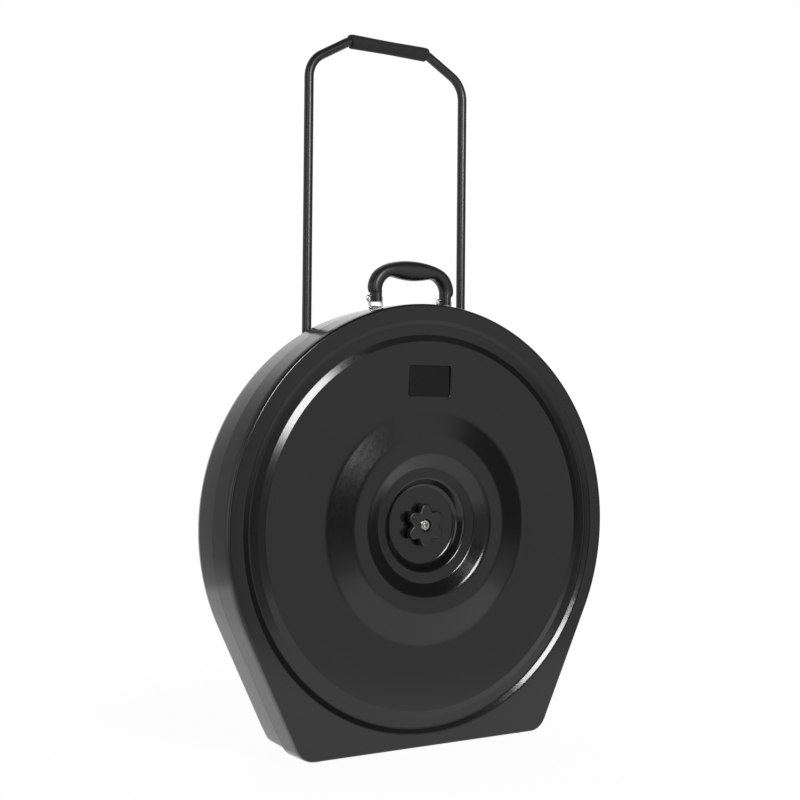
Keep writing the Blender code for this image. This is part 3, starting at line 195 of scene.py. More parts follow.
# Carry handle, rings and brackets
HANDLE_HALF_SPAN = 0.0703
HANDLE_RISE = 0.0604
HANDLE_HALF_THICKNESS = 0.0118
HANDLE_SQUARENESS = 2.6
HANDLE_DEPTH = middle("carry_handle").y - FRONT_Y
HANDLE_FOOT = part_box("carry_handle")[0].z - CENTRE_HEIGHT
HANDLE_BEAD = 0.0005
HANDLE_BEAD_WIDTH = 0.0011
RING_WIRE_RADIUS = 0.0018
RING_CORNER = 0.0022
RING_SPREAD = 0.0018
RING_EAR_RADIUS = 0.0028
RING_KNEE_RADIUS = 0.0024
RING_HOLE_RADIUS = 0.0022
SEAT_HALF_WIDTH = 0.0135
SEAT_HALF_DEPTH = 0.0085
SEAT_CORNER = 0.0025
BRACKET_HALF_DEPTH = 0.0081
BRACKET_THICKNESS = 0.0012
BRACKET_PLAY = 0.0003
BRACKET_RIVET_REACH = 0.0057
BRACKET_RIVET_RADIUS = 0.0012
BRACKET_RIVET_HEAD = 0.0022
BRACKET_RIVET_DOME = 0.001

# Trolley handle with its guides and clamps
TROLLEY_RADIUS = 0.00675
TROLLEY_WALL = 0.0012
TROLLEY_BAR_HALF = 0.067
TROLLEY_SHOULDER_DROP = 0.038
TROLLEY_BEND = 0.040
TROLLEY_BAR_BEND = 0.028
GRIP_HALF_LENGTH = 0.0670
GRIP_RADIUS = 0.0103
GRIP_END_ROUND = 0.0028
GRIP_END_SHARE = 0.8
GRIP_SWELL = 0.0003
GRIP_SPACING = 0.0015
GUIDE_RADIUS = 0.0097
GUIDE_BORE = 0.0084
CHANNEL_GAP = 0.0004
COLLAR_RADIUS = 0.0115
COLLAR_EDGE = 0.002
CAP_HEIGHT = 0.003
CAP_EDGE = 0.001
CLAMP_HALF_WIDTH = 0.009
CLAMP_THICKNESS = 0.002
CLAMP_EAR = 0.011
CLAMP_EDGE = 0.0003
CLAMP_RIVET_RADIUS = 0.0017
CLAMP_RIVET_HEAD = 0.0036
CLAMP_RIVET_DOME = 0.0015
CLAMP_RIVET_REACH = GUIDE_RADIUS + CLEARANCE + CLAMP_THICKNESS + CLAMP_EAR / 2
HAIR_EDGE = 0.0002
SEAT_EDGE = 0.0004
MOUTH_EDGE = 0.0006

# Wheels and feet
WHEEL_RADIUS = 0.032
WHEEL_HALF = 0.011
TYRE_THICKNESS = 0.009
TYRE_EDGE = 0.0035
TREAD_GROOVES = (-0.005, 0.0, 0.005)
TREAD_GROOVE_HALF = 0.0006
TREAD_GROOVE_DEPTH = 0.0010
TREAD_GROOVE_EDGE = 0.0001
ARCH_GAP = 0.004
AXLE_RADIUS = 0.004
AXLE_HEAD_RADIUS = 0.0065
AXLE_HEAD_HEIGHT = 0.0025
AXLE_HEAD_EDGE = 0.0012
HUB_BOSS_RADIUS = 0.009
HUB_WEB_HALF = 0.003
HUB_RIM = 0.004
HUB_EDGE = 0.0005
HUB_CORNER = 0.0015
HUB_HOLES = 6
HUB_HOLE_RADIUS = 0.0028
FOOT_RADIUS = 0.010
FOOT_EDGE = 0.001
FOOT_CUP_RADIUS = 0.004
FOOT_CUP_FLOOR_RADIUS = 0.003
FOOT_CUP_DEPTH = 0.001
FOOT_STEM_RADIUS = 0.003
FOOT_BARB_RADIUS = 0.0045
FOOT_BARB_HEIGHT = 0.003

# Facets
ARC_STEPS = 84
FLANK_STEPS = 8
CORNER_STEPS = 10
BASE_STEPS = 10
FILLET_STEPS = 5
FINE_FILLET_STEPS = 8
TURNED_STEPS = 4
SMALL_TURNED_STEPS = 3
BEND_STEPS = 16
HANDLE_ROW_STEPS = 6
BRACKET_STEPS = 16
CLAMP_STEPS = 28
RIVET_STEPS = 5
EDGE_SEGMENTS = 2
ROUND_SIDES = 72
SMALL_SIDES = 40
TINY_SIDES = 24
WIRE_SIDES = 16
BOLT_SIDES = 32
PAD_SIDES = 160
KNOB_SIDES = 240
HANDLE_SIDES = 56
FLOOR_SIDES = 96
MERGE_DISTANCE = 0.000002
SMOOTH_ANGLE = math.radians(32)
GRIP_SMOOTH_ANGLE = math.radians(60)

# Carry handle outline from a post's foot to the crown, as shares of the half
# span and of the rise: the outer side and the inner side of each section
HANDLE_OUTER_SHARES = (
    (0.930, 0.0), (0.945, 0.190), (0.984, 0.235), (1.0, 0.360), (0.966, 0.517), (0.885, 0.682),
    (0.750, 0.815), (0.574, 0.906), (0.372, 0.962), (0.185, 0.992), (0.0, 1.0),
)
HANDLE_INNER_SHARES = (
    (0.744, 0.0), (0.737, 0.190), (0.734, 0.235), (0.731, 0.321), (0.701, 0.430), (0.630, 0.530),
    (0.534, 0.594), (0.430, 0.596), (0.284, 0.566), (0.142, 0.546), (0.0, 0.537),
)
HANDLE_THICKNESS_SHARES = (0.84, 0.85, 0.86, 0.88, 0.92, 0.96, 0.98, 1.0, 1.0, 1.0, 1.0)

# Places of the right side's CAD nodes, which the left side mirrors
TUBE = middle("tube_stop_right")
TROLLEY_X = TUBE.x
TROLLEY_DEPTH = TUBE.y - FRONT_Y
GUIDE_LOW, GUIDE_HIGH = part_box("guide_tube_right")
GUIDE_BOTTOM = GUIDE_LOW.z - CENTRE_HEIGHT
GUIDE_TOP = GUIDE_HIGH.z - CENTRE_HEIGHT
CLAMP_LEVELS = {level: middle(f"guide_clamp_{level}_right").z - CENTRE_HEIGHT for level in ("upper", "lower")}
WHEEL = middle("wheel_tyre_right")
WHEEL_DEPTH = WHEEL.y - FRONT_Y
WHEEL_LEVEL = WHEEL.z - CENTRE_HEIGHT
ARCH_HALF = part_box("wheel_hub_right")[1].x - WHEEL.x + CLEARANCE
ARCH_RADIUS = WHEEL_RADIUS + ARCH_GAP
RING_LOW, RING_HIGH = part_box("handle_ring_right")
RING_X = middle("handle_bracket_right").x
RING_HALF_WIDTH = RING_HIGH.x - RING_X - RING_WIRE_RADIUS
SHANK_WIDTH = (HANDLE_OUTER_SHARES[1][0] - HANDLE_INNER_SHARES[1][0]) * HANDLE_HALF_SPAN
RING_TOP_HALF_WIDTH = SHANK_WIDTH / 2 + RING_WIRE_RADIUS + CLEARANCE
RING_LOWER = RING_LOW.z + RING_WIRE_RADIUS - CENTRE_HEIGHT
RING_UPPER = RING_HIGH.z - RING_WIRE_RADIUS - CENTRE_HEIGHT
SEAT_LEVEL = RING_LOWER - RING_WIRE_RADIUS - CLEARANCE

# Camera at the photograph's place
CAMERA_PLACE = Vector((-1.06119, -1.65659, 0.46148))
CAMERA_TURN = math.radians(32.40)
CAMERA_PITCH = math.radians(0.763)
CAMERA_ROLL = math.radians(0.511)
CAMERA_LENS = 61.40
CAMERA_SENSOR = 36.0

# Floor that glows white to the camera, and a little less near the object
FLOOR_RADIUS = 0.9
FLOOR_FADE = (0.35, 0.95 * FLOOR_RADIUS)
FLOOR_GLOW_SHARES = (0.93, 1.0)
FLOOR_GLOWS = (1.03, 1.0)
FLOOR_COLOUR = (0.85, 0.85, 0.85, 1)
WHITE = (1, 1, 1, 1)

# Room that the object reflects. Heights are sines of the elevation; azimuths are degrees
# from the front. A lit part has the azimuths where it starts, is full, is full no longer
# and ends, the heights where it fades out, the heights where it fades in, and a radiance.
ROOM_LEVEL = 0.05
BACKDROP_FADE = (-0.1, 0.3)
BACKDROP_SPREAD = (0.60, 0.85)
BACKDROP_LEVELS = (0.3, 1.1)
GROUND_FADE = (-0.34, -0.03)
GROUND_LEVEL = 0.63
LIT_PARTS = (
    ((17, 29, 40, 48), (0.3, 0.5), None, 0.6),
    ((-70, -60, -45, -33), (0.5, 0.65), (-0.25, -0.1), 1.9),
    ((-146, -136, -106, -94), (0.35, 0.5), (-0.25, -0.1), 0.55),
    ((-36, -24, -6, 8), (0.12, 0.3), None, 0.3),
)

# Round soft box high in front of the lid
LAMP_AZIMUTH = math.radians(3.5)
LAMP_ELEVATION = math.radians(20.8)
LAMP_DISTANCE = 4.0
LAMP_HALF_ANGLE = math.radians(8.6)
LAMP_RADIANCE = 25


def at(x, depth, height):
    """World place of a point given from the case's centre and front plane."""
    return Vector((x, FRONT_Y + depth, CENTRE_HEIGHT + height))


def polar(reach, turn, depth):
    """World place of a point given around the case's axis."""
    return at(reach * math.cos(turn), depth, reach * math.sin(turn))


def quarter_round(radius):
    """(inset, drop) pairs of a rounded edge, from its face to its side."""
    turns = [math.pi / 2 * i / FILLET_STEPS for i in range(FILLET_STEPS + 1)]
    return [(radius * (1 - math.sin(turn)), radius * (1 - math.cos(turn))) for turn in turns]


def fillet(corners, closed=False, steps=FILLET_STEPS):
    """Points through (u, v, radius) corners, with an arc wherever the radius isn't zero."""
    spots = [Vector(corner[:2]) for corner in corners]
    count = len(corners)
    points = []
    for i, spot in enumerate(spots):
        radius = corners[i][2]
        if radius == 0 or (not closed and i in (0, count - 1)):
            points.append(spot)
            continue
        back = (spots[i - 1] - spot).normalized()
        on = (spots[(i + 1) % count] - spot).normalized()
        half = back.angle(on) / 2
        centre = spot + (back + on).normalized() * radius / math.sin(half)
        start = spot + back * radius / math.tan(half) - centre
        end = spot + on * radius / math.tan(half) - centre
        sweep = start.angle(end)
        for k in range(steps + 1):
            share = k / steps
            weights = math.sin((1 - share) * sweep), math.sin(share * sweep)
            points.append(centre + (start * weights[0] + end * weights[1]) / math.sin(sweep))
    return points


def skin(rings, around=False, capped=True):
    """bmesh through rings of equal counts: capped, open or closed on itself."""
    bm = bmesh.new()
    rows = [[bm.verts.new(point) for point in ring] for ring in rings]
    pairs = list(zip(rows, rows[1:]))
    if around:
        pairs.append((rows[-1], rows[0]))
    for row, after in pairs:
        for i, vertex in enumerate(row):
            j = (i + 1) % len(row)
            bm.faces.new((vertex, row[j], after[j], after[i]))
    if capped and not around:
        bm.faces.new(rows[0])
        bm.faces.new(rows[-1])
    bmesh.ops.recalc_face_normals(bm, faces=bm.faces)
    return bm


TURNS = {
    "X": Matrix(((0, 0, 1), (1, 0, 0), (0, 1, 0))),
    "Y": Matrix(((1, 0, 0), (0, 0, 1), (0, 1, 0))),
    "Z": Matrix.Identity(3),
}


def lathe(profile, centre, axis, sides=SMALL_SIDES):
    """Closed bmesh turned from (radius, along) points around an axis."""
    turn = TURNS[axis]
    rings = []
    for radius, along in profile:
        ring = []
        for i in range(sides):
            angle = math.tau * i / sides
            ring.append(centre + turn @ Vector((radius * math.cos(angle), radius * math.sin(angle), along)))
        rings.append(ring)
    bm = skin(rings, around=profile[0][0] > 0, capped=False)
    bmesh.ops.remove_doubles(bm, verts=bm.verts, dist=MERGE_DISTANCE)
    bmesh.ops.recalc_face_normals(bm, faces=bm.faces)
    return bm


def turned(corners, centre, axis, sides=SMALL_SIDES, steps=TURNED_STEPS):
    """Closed bmesh turned from (radius, along, rounding) corners, which may start and end on the axis."""
    return lathe(fillet(corners, closed=corners[0][0] > 0, steps=steps), centre, axis, sides)


def planar_rings(path, radii, sides, closed=False):
    """Circles along a path that lies in a plane of constant depth."""
    rings = []
    count = len(path)
    for i, point in enumerate(path):
        before = path[i - 1] if closed or i else path[0]
        after = path[(i + 1) % count] if closed or i < count - 1 else path[-1]
        along = (after - before).normalized()
        across = Vector((-along.z, 0, along.x))
        ring = []
        for k in range(sides):
            angle = math.tau * k / sides
            ring.append(point + radii[i] * (math.cos(angle) * across + math.sin(angle) * Vector((0, 1, 0))))
        rings.append(ring)
    return rings


def block(low, high):
    """Box between two corners."""
    bm = bmesh.new()
    scale = Matrix.Diagonal((*(high - low), 1))
    bmesh.ops.create_cube(bm, size=1, matrix=Matrix.Translation((low + high) / 2) @ scale)
    return bm


def bar(radius, start, end, sides=SMALL_SIDES):
    """Round bar between two points."""
    bm = bmesh.new()
    run = end - start
    turn = Vector((0, 0, 1)).rotation_difference(run).to_matrix().to_4x4()
    place = Matrix.Translation((start + end) / 2) @ turn
    bmesh.ops.create_cone(bm, cap_ends=True, segments=sides, radius1=radius, radius2=radius,
                          depth=run.length, matrix=place)
    return bm


def bar_across(radius, x, half, sides=SMALL_SIDES):
    """Bar along X on the wheels' axis."""
    return bar(radius, at(x - half, WHEEL_DEPTH, WHEEL_LEVEL), at(x + half, WHEEL_DEPTH, WHEEL_LEVEL), sides)


def bar_through(radius, x, front, back, level, sides=SMALL_SIDES):
    """Bar along Y between two depths."""
    return bar(radius, at(x, front, level), at(x, back, level), sides)


def bar_upright(radius, x, depth, low, high, sides=SMALL_SIDES):
    """Bar along Z between two levels."""
    return bar(radius, at(x, depth, low), at(x, depth, high), sides)


def mesh_of(name, bm):
    """Mesh that takes over a bmesh."""
    mesh = bpy.data.meshes.new(name)
    bm.to_mesh(mesh)
    bm.free()
    return mesh


def new_object(name, data):
    """Object in the scene's own collection."""
    obj = bpy.data.objects.new(name, data)
    bpy.context.scene.collection.objects.link(obj)
    return obj


def apply_modifiers(obj):
    """Bake an object's modifiers into its mesh."""
    bpy.context.view_layer.update()
    evaluated = obj.evaluated_get(bpy.context.evaluated_depsgraph_get())
    baked = bpy.data.meshes.new_from_object(evaluated)
    obj.modifiers.clear()
    obj.data = baked


def combine(bm, other, operation="DIFFERENCE"):
    """First bmesh cut by, joined with or limited to another one."""
    target = new_object("target", mesh_of("target", bm))
    cutter = new_object("cutter", mesh_of("cutter", other))
    step = target.modifiers.new("step", "BOOLEAN")
    step.operation = operation
    step.solver = "MANIFOLD"
    step.object = cutter
    apply_modifiers(target)
    result = bmesh.new()
    result.from_mesh(target.data)
    for obj in (target, cutter):
        bpy.data.objects.remove(obj, do_unlink=True)
    return result


def combine_all(bm, others, operation="DIFFERENCE"):
    """First bmesh combined with several others in turn."""
    for other in others:
        bm = combine(bm, other, operation)
    return bm


def dress(node, bm, smooth_angle=SMOOTH_ANGLE, edge=0.0):
    """Piece that stands for a CAD node, on its body, with its slot's material."""
    obj = new_object(f"{node}_dressed", mesh_of(node, bm))
    if edge > 0:
        bevel = obj.modifiers.new("edge", "BEVEL")
        bevel.width = edge
        bevel.segments = EDGE_SEGMENTS
        bevel.limit_method = "ANGLE"
        bevel.angle_limit = SMOOTH_ANGLE
        apply_modifiers(obj)
    obj.data.shade_smooth()
    obj.data.set_sharp_from_angle(angle=smooth_angle)
    normals = obj.modifiers.new("normals", "WEIGHTED_NORMAL")
    normals.keep_sharp = True
    apply_modifiers(obj)
    slot = SLOT_OF[node]
    obj.data.materials.clear()
    obj.data.materials.append(MATERIALS[slot])
    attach(obj, BODY_OF[node])
    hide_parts(node)
    return obj


# Materials


NOISE_RANGE = (0.3, 0.7)


class Nodes:
    """Short way to add and link the nodes of a material or of the world."""

    def __init__(self, owner, space="Object", clear=True):
        owner.use_nodes = True
        self.tree = owner.node_tree
        if clear:
            self.tree.nodes.clear()
        self.place = self.add("TexCoord").outputs[space]

    def set(self, socket, value):
        """Set a socket to a value, or link it to another socket."""
        if isinstance(value, bpy.types.NodeSocket):
            self.tree.links.new(value, socket)
        else:
            socket.default_value = value

    def add(self, kind, *values, operation=None, **sockets):
        """New node, with sockets set or linked in their order or by name."""
        node = self.tree.nodes.new(f"ShaderNode{kind}")
        if operation:
            node.operation = operation
        for socket, value in zip(node.inputs, values):
            self.set(socket, value)
        for key, value in sockets.items():
            self.set(node.inputs[key.replace("_", " ")], value)
        return node

    def maths(self, operation, *values):
        """Result of a sum on numbers or sockets."""
        return self.add("Math", *values, operation=operation).outputs[0]

    def product(self, result, *values):
        """Numbers or sockets multiplied together."""
        for value in values:
            result = self.maths("MULTIPLY", result, value)
        return result

    def ease(self, value, start, end, low=0.0, high=1.0):
        """Smooth step from low to high between two values."""
        node = self.add("MapRange", value, start, end, low, high)
        node.interpolation_type = "SMOOTHSTEP"
        return node.outputs["Result"]

    def pattern(self, kind, output, **sockets):
        """Value of a texture."""
        return self.add(kind, Vector=self.place, **sockets).outputs[output]

    def finish(self, kind, shader):
        """Link a shader to a new output."""
        self.tree.links.new(shader.outputs[0], self.add(f"Output{kind}").inputs["Surface"])


def waves(scale, detail=2.0, roughness=0.5):
    """Noise at so many waves per metre."""
    return {"kind": "TexNoise", "output": "Fac", "Scale": scale, "Detail": detail, "Roughness": roughness}


def cells(scale):
    """Distance to the nearest cell centre, at so many cells per metre."""
    return {"kind": "TexVoronoi", "output": "Distance", "Scale": scale}


def material(name, tone, dark, light, layers, roughness, **sockets):
    """Material with a colour between two, (pattern, strength, distance) bumps and a roughness range."""
    made = bpy.data.materials.new(name)
    nodes = Nodes(made, clear=False)
    shader = nodes.tree.nodes["Principled BSDF"]
    ramp = nodes.add("ValToRGB", nodes.pattern(**tone))
    for element, position, colour in zip(ramp.color_ramp.elements, NOISE_RANGE, (dark, light)):
        element.position = position
        element.color = (*colour, 1)
    sockets["Base_Color"] = ramp.outputs["Color"]
    normal = None
    for height, strength, distance in layers:
        bump = nodes.add("Bump", Height=nodes.pattern(**height), Strength=strength, Distance=distance)
        if normal:
            nodes.set(bump.inputs["Normal"], normal)
        normal = bump.outputs["Normal"]
    sockets["Normal"] = normal
    if isinstance(roughness, tuple):
        spread, low, high = roughness
        roughness = nodes.add("MapRange", nodes.pattern(**spread), *NOISE_RANGE, low, high).outputs["Result"]
    sockets["Roughness"] = roughness
    for key, value in sockets.items():
        nodes.set(shader.inputs[key.replace("_", " ")], value)
    return made


def rubber(name, dark, light):
    """Matt moulded rubber."""
    return material(name, waves(150.0, 3.0), (dark,) * 3, (light,) * 3,
                    [(waves(1100.0, 3.0), 0.3, 0.0002)], (waves(300.0), 0.66, 0.82))


MATERIALS = {
    # Satin moulded plastic with a fine pebble grain
    "shell": material("shell_plastic", waves(6.0, 3.0), (0.0068, 0.0068, 0.0070), (0.0080, 0.0080, 0.0082),
                      [(waves(900.0, 3.0, 0.6), 0.12, 0.0002), (waves(14.0), 0.06, 0.0004)],
                      (waves(260.0), 0.14, 0.18)),
    # Smooth injection moulded plastic with faint flow marks
    "black_plastic": material("black_plastic", waves(40.0), (0.011, 0.011, 0.0112), (0.014, 0.014, 0.0142),
                              [(waves(1500.0), 0.15, 0.0001), (waves(90.0), 0.2, 0.0002)],
                              (waves(300.0), 0.30, 0.40)),
    # Bare dull surface with a fine mottle
    "plate": material("plate", waves(500.0), (0.0040, 0.0040, 0.0042), (0.0060, 0.0060, 0.0062),
                      [(waves(700.0, 3.0), 0.35, 0.0002)], (waves(400.0), 0.30, 0.42),
                      Specular_IOR_Level=0.2),
    # Zinc plating with a mottled dullness
    "zinc_steel": material("zinc_steel", waves(220.0, 4.0), (0.40, 0.40, 0.39), (0.54, 0.54, 0.52),
                           [(waves(1800.0, 3.0), 0.15, 0.0001)], (waves(500.0, 3.0), 0.22, 0.38),
                           Metallic=1.0),
    # Bright plating with hairline marks
    "chrome": material("chrome", waves(300.0), (0.74, 0.74, 0.75), (0.82, 0.82, 0.82),
                       [(waves(1200.0), 0.06, 0.0001)], (waves(700.0), 0.05, 0.12), Metallic=1.0),
    # Satin powder coat with orange peel
    "painted_tube": material("painted_tube", waves(60.0), (0.013, 0.013, 0.0135), (0.018, 0.018, 0.0185),
                             [(waves(650.0, 1.0), 0.08, 0.0002)], (waves(500.0), 0.26, 0.36)),
    # Closed cell foam with small pits
    "grip_foam": material("grip_foam", waves(120.0, 3.0), (0.0085, 0.0085, 0.0087), (0.0130, 0.0130, 0.0132),
                          [(cells(1100.0), 0.35, 0.0003), (waves(160.0), 0.3, 0.0006)], 0.82,
                          Sheen_Weight=0.05, Sheen_Roughness=0.5),
    "rubber": rubber("rubber", 0.010, 0.015),
    "tyre": rubber("tyre", 0.016, 0.024),
    # Open cell foam
    "pad_foam": material("pad_foam", cells(700.0), (0.030, 0.030, 0.033), (0.060, 0.060, 0.065),
                         [(cells(700.0), 0.7, 0.0007), (waves(60.0), 0.3, 0.002)], 0.95, Sheen_Weight=0.1),
    # Pressed wool felt with loose fibres
    "felt": material("felt", waves(900.0, 5.0, 0.75), (0.055, 0.055, 0.060), (0.115, 0.115, 0.120),
                     [(waves(900.0, 5.0, 0.75), 0.8, 0.0006)], 0.98, Sheen_Weight=0.4, Sheen_Roughness=0.4),
    # Natural nylon, slightly translucent
    "nylon": material("nylon", waves(150.0), (0.66, 0.65, 0.60), (0.72, 0.71, 0.67),
                      [(waves(900.0), 0.1, 0.0001)], (waves(400.0), 0.38, 0.48),
                      Subsurface_Weight=0.15, Subsurface_Scale=0.001),
}


# Shells


def corner_centre(inset, drop, radius):
    """Centre of the outline's lower right corner, from the case's centre."""
    z = radius + inset - drop
    x = (CASE_RADIUS - inset - radius + z * math.sin(SIDE_LEAN)) / math.cos(SIDE_LEAN)
    return Vector((x, z))


def outline_reach(angle, inset, drop):
    """Distance from the case's centre to its outline, moved in by an inset."""
    way = Vector((abs(math.cos(angle)), math.sin(angle)))
    radius = CASE_RADIUS - inset
    if way.y > -math.sin(SIDE_LEAN):
        return radius
    flank = radius / (way.x * math.cos(SIDE_LEAN) - way.y * math.sin(SIDE_LEAN))
    reach = min(flank, (inset - drop) / way.y)
    bend = max(CORNER_RADIUS - inset, CORNER_RADIUS_LEAST)
    centre = corner_centre(inset, drop, bend)
    beyond = way * reach - centre
    down_flank = Vector((-math.sin(SIDE_LEAN), -math.cos(SIDE_LEAN)))
    if beyond.x > 0 and beyond.dot(down_flank) > 0:
        along = way.dot(centre)
        reach = along + math.sqrt(along ** 2 - centre.length_squared + bend ** 2)
    return reach


def outline_angles():
    """Directions of the outline's points, which every ring of the shells shares."""
    centre = corner_centre(0, BASE_DROP, CORNER_RADIUS)
    half = [Vector((centre.x * i / BASE_STEPS, -BASE_DROP)) for i in range(BASE_STEPS)]
    for i in range(CORNER_STEPS + 1):
        turn = (SIDE_LEAN - math.pi / 2) * (1 - i / CORNER_STEPS) - SIDE_LEAN
        half.append(centre + CORNER_RADIUS * Vector((math.cos(turn), math.sin(turn))))
    shoulder = CASE_RADIUS * Vector((math.cos(SIDE_LEAN), -math.sin(SIDE_LEAN)))
    foot = half[-1]
    half += [foot.lerp(shoulder, i / FLANK_STEPS) for i in range(1, FLANK_STEPS)]
    for i in range(ARC_STEPS + 1):
        turn = -SIDE_LEAN + (math.pi / 2 + SIDE_LEAN) * i / ARC_STEPS
        half.append(CASE_RADIUS * Vector((math.cos(turn), math.sin(turn))))
    right = [math.atan2(point.y, point.x) for point in half]
    return right + [math.pi - angle for angle in right[-2:0:-1]]


ANGLES = outline_angles()


def case_ring(radius, depth, drop, rim_from):
    """Ring of the shells: the outline near the rim, a plain circle inside it."""
    points = []
    for angle in ANGLES:
        reach = radius
        if radius > rim_from:
            reach = outline_reach(angle, CASE_RADIUS - radius, drop)
        points.append(polar(reach, angle, depth))
    return points


def moved_inwards(profile, distance):
    """Profile of (u, v, radius) corners moved to its left by a wall."""
    spots = [Vector(corner[:2]) for corner in profile]
    normals = []
    for start, end in zip(spots, spots[1:]):
        run = (end - start).normalized()
        normals.append(Vector((-run.y, run.x)))
    result = [(*(spots[0] + normals[0] * distance), 0)]
    for i in range(1, len(spots) - 1):
        before, after = normals[i - 1], normals[i]
        mitre = (before + after).normalized()
        corner = spots[i] + mitre * distance / mitre.dot(after)
        hollow = before.x * after.y - before.y * after.x > 0
        radius = profile[i][2] - distance if hollow else profile[i][2] + distance
        result.append((*corner, max(radius, CLEARANCE)))
    result.append((*(spots[-1] + normals[-1] * distance), 0))
    return result


LID_PROFILE = [
    (LID_HOLE_RADIUS, WELL_DEPTH, 0),
    (WELL_FLOOR_RADIUS, WELL_DEPTH, WELL_FLOOR_CORNER),
    (WELL_RIM_RADIUS, WELL_RIM_DEPTH, WELL_CORNER),
    (STEP_RADIUS, STEP_DEPTH, STEP_CORNER),
    (BOSS_RADIUS, 0, BOSS_CORNER),
    (BAND_INNER_RADIUS, 0, BAND_CORNER),
    (BAND_OUTER_RADIUS, DISH_DEPTH, BAND_CORNER),
    (DISH_RADIUS, DISH_EDGE_DEPTH, GROOVE_CORNER),
    (GROOVE_INNER_RADIUS, GROOVE_INNER_DEPTH, GROOVE_CORNER),
    (GROOVE_OUTER_RADIUS, GROOVE_DEPTH, GROOVE_SOFT_CORNER),
    (LAND_RADIUS, 0, GROOVE_SOFT_CORNER),
    (CASE_RADIUS + LID_FRONT_GROWTH - LID_SHOULDER, 0, LID_EDGE_RADIUS),
    (CASE_RADIUS + LID_FRONT_GROWTH, LID_SHOULDER_DEPTH, LID_SHOULDER_RADIUS),
    (CASE_RADIUS + LID_DRAFT, SEAM_DEPTH, 0),
]
LID_INSIDE = moved_inwards(LID_PROFILE, WALL)


def lid_side_radius(depth):
    """Outer radius of the lid's drafted side."""
    return CASE_RADIUS + LID_FRONT_GROWTH + (LID_DRAFT - LID_FRONT_GROWTH) * depth / SEAM_DEPTH


def dish_depth(x, height):
    """Depth of the lid's dished face at a place."""
    share = (math.hypot(x, height) - BAND_OUTER_RADIUS) / (DISH_RADIUS - BAND_OUTER_RADIUS)
    return DISH_DEPTH + (DISH_EDGE_DEPTH - DISH_DEPTH) * share


def rounded_rectangle(half_x, half_z, radius):
    """Outline of a rectangle with round corners."""
    corners = [(half_x, -half_z, radius), (half_x, half_z, radius),
               (-half_x, half_z, radius), (-half_x, -half_z, radius)]
    return fillet(corners, closed=True)


def plate_ring(grow, depth, dished=False):
    """Plate's outline moved outwards, at a depth behind the front plane or the dished face."""
    points = []
    for p in rounded_rectangle(PLATE_HALF_X + grow, PLATE_HALF_Z + grow, PLATE_CORNER + grow):
        height = PLATE_LEVEL + p.y
        start = dish_depth(p.x, height) if dished else 0
        points.append(at(p.x, start + depth, height))
    return points


def pocket_cutter():
    """Cutter of the plate's pocket, which flares into a round edge at the lid's face."""
    rings = [plate_ring(PLATE_FRAME_GAP + POCKET_EDGE, level, dished=True) for level in (-OVERRUN, 0)]
    for grow, down in quarter_round(POCKET_EDGE)[1:]:
        rings.append(plate_ring(PLATE_FRAME_GAP + grow, down, dished=True))
    rings.append(plate_ring(PLATE_FRAME_GAP, POCKET_FLOOR_DEPTH))
    return skin(rings)


def pocket_block(front, play=0.0):
    """Block around the plate's pocket with the wall behind it."""
    grow = PLATE_FRAME_GAP + WALL + play
    return block(at(-PLATE_HALF_X - grow, front, PLATE_LEVEL - PLATE_HALF_Z - grow),
                 at(PLATE_HALF_X + grow, POCKET_FLOOR_DEPTH + WALL + play, PLATE_LEVEL + PLATE_HALF_Z + grow))


def front_shell():
    """Lid: ringed face, drafted side, and a flange that meets the rear shell's lip."""
    rim = lid_side_radius(SEAM_DEPTH)
    outer = LID_PROFILE[:-1] + [(rim, SEAM_DEPTH, SEAM_EDGE), (rim - WALL / 2, SEAM_DEPTH, 0)]
    flange_top = SEAM_DEPTH - FLANGE_DEPTH
    slope_top = flange_top - FLANGE_SLOPE
    rows = [(*p, BASE_DROP) for p in fillet(outer)]
    rows += [(rim - WALL, SEAM_DEPTH, REAR_DROP),
             (lid_side_radius(flange_top) - WALL, flange_top, REAR_DROP),
             (lid_side_radius(slope_top) - WALL, slope_top, BASE_DROP)]
    rows += [(*p, BASE_DROP) for p in reversed(fillet(LID_INSIDE)[:-1])]
    shell = skin([case_ring(radius, depth, drop, RIM_FROM) for radius, depth, drop in rows], around=True)
    shell = combine(shell, pocket_block(DISH_DEPTH), "UNION")
    shell = combine(shell, pocket_cutter())
    foot = middle("foot_right")
    sole = LID_LOW.z - CENTRE_HEIGHT
    for sign in SIDE_SIGNS.values():
        shell = combine(shell, bar_upright(FOOT_STEM_RADIUS + CLEARANCE, sign * foot.x, foot.y - FRONT_Y,
                                           sole - OVERRUN, sole + 2 * OVERRUN))
    dress("front_shell", shell)


def rear_profile():
    """Corners of the rear shell's outside, from the seam to the middle of its back."""
    rim = lid_side_radius(SEAM_DEPTH)
    return [
        (rim, REAR_START, 0),
        (CASE_RADIUS - REAR_DRAFT, CASE_DEPTH, REAR_EDGE_RADIUS),
        (REAR_RECESS_RADIUS, CASE_DEPTH, REAR_RECESS_CORNER),
        (REAR_RECESS_RADIUS - REAR_RECESS_SLOPE, CASE_DEPTH - REAR_RECESS_DEPTH, REAR_RECESS_CORNER),
        (BOLT_HOLE_RADIUS, CASE_DEPTH - REAR_RECESS_DEPTH, 0),
    ]


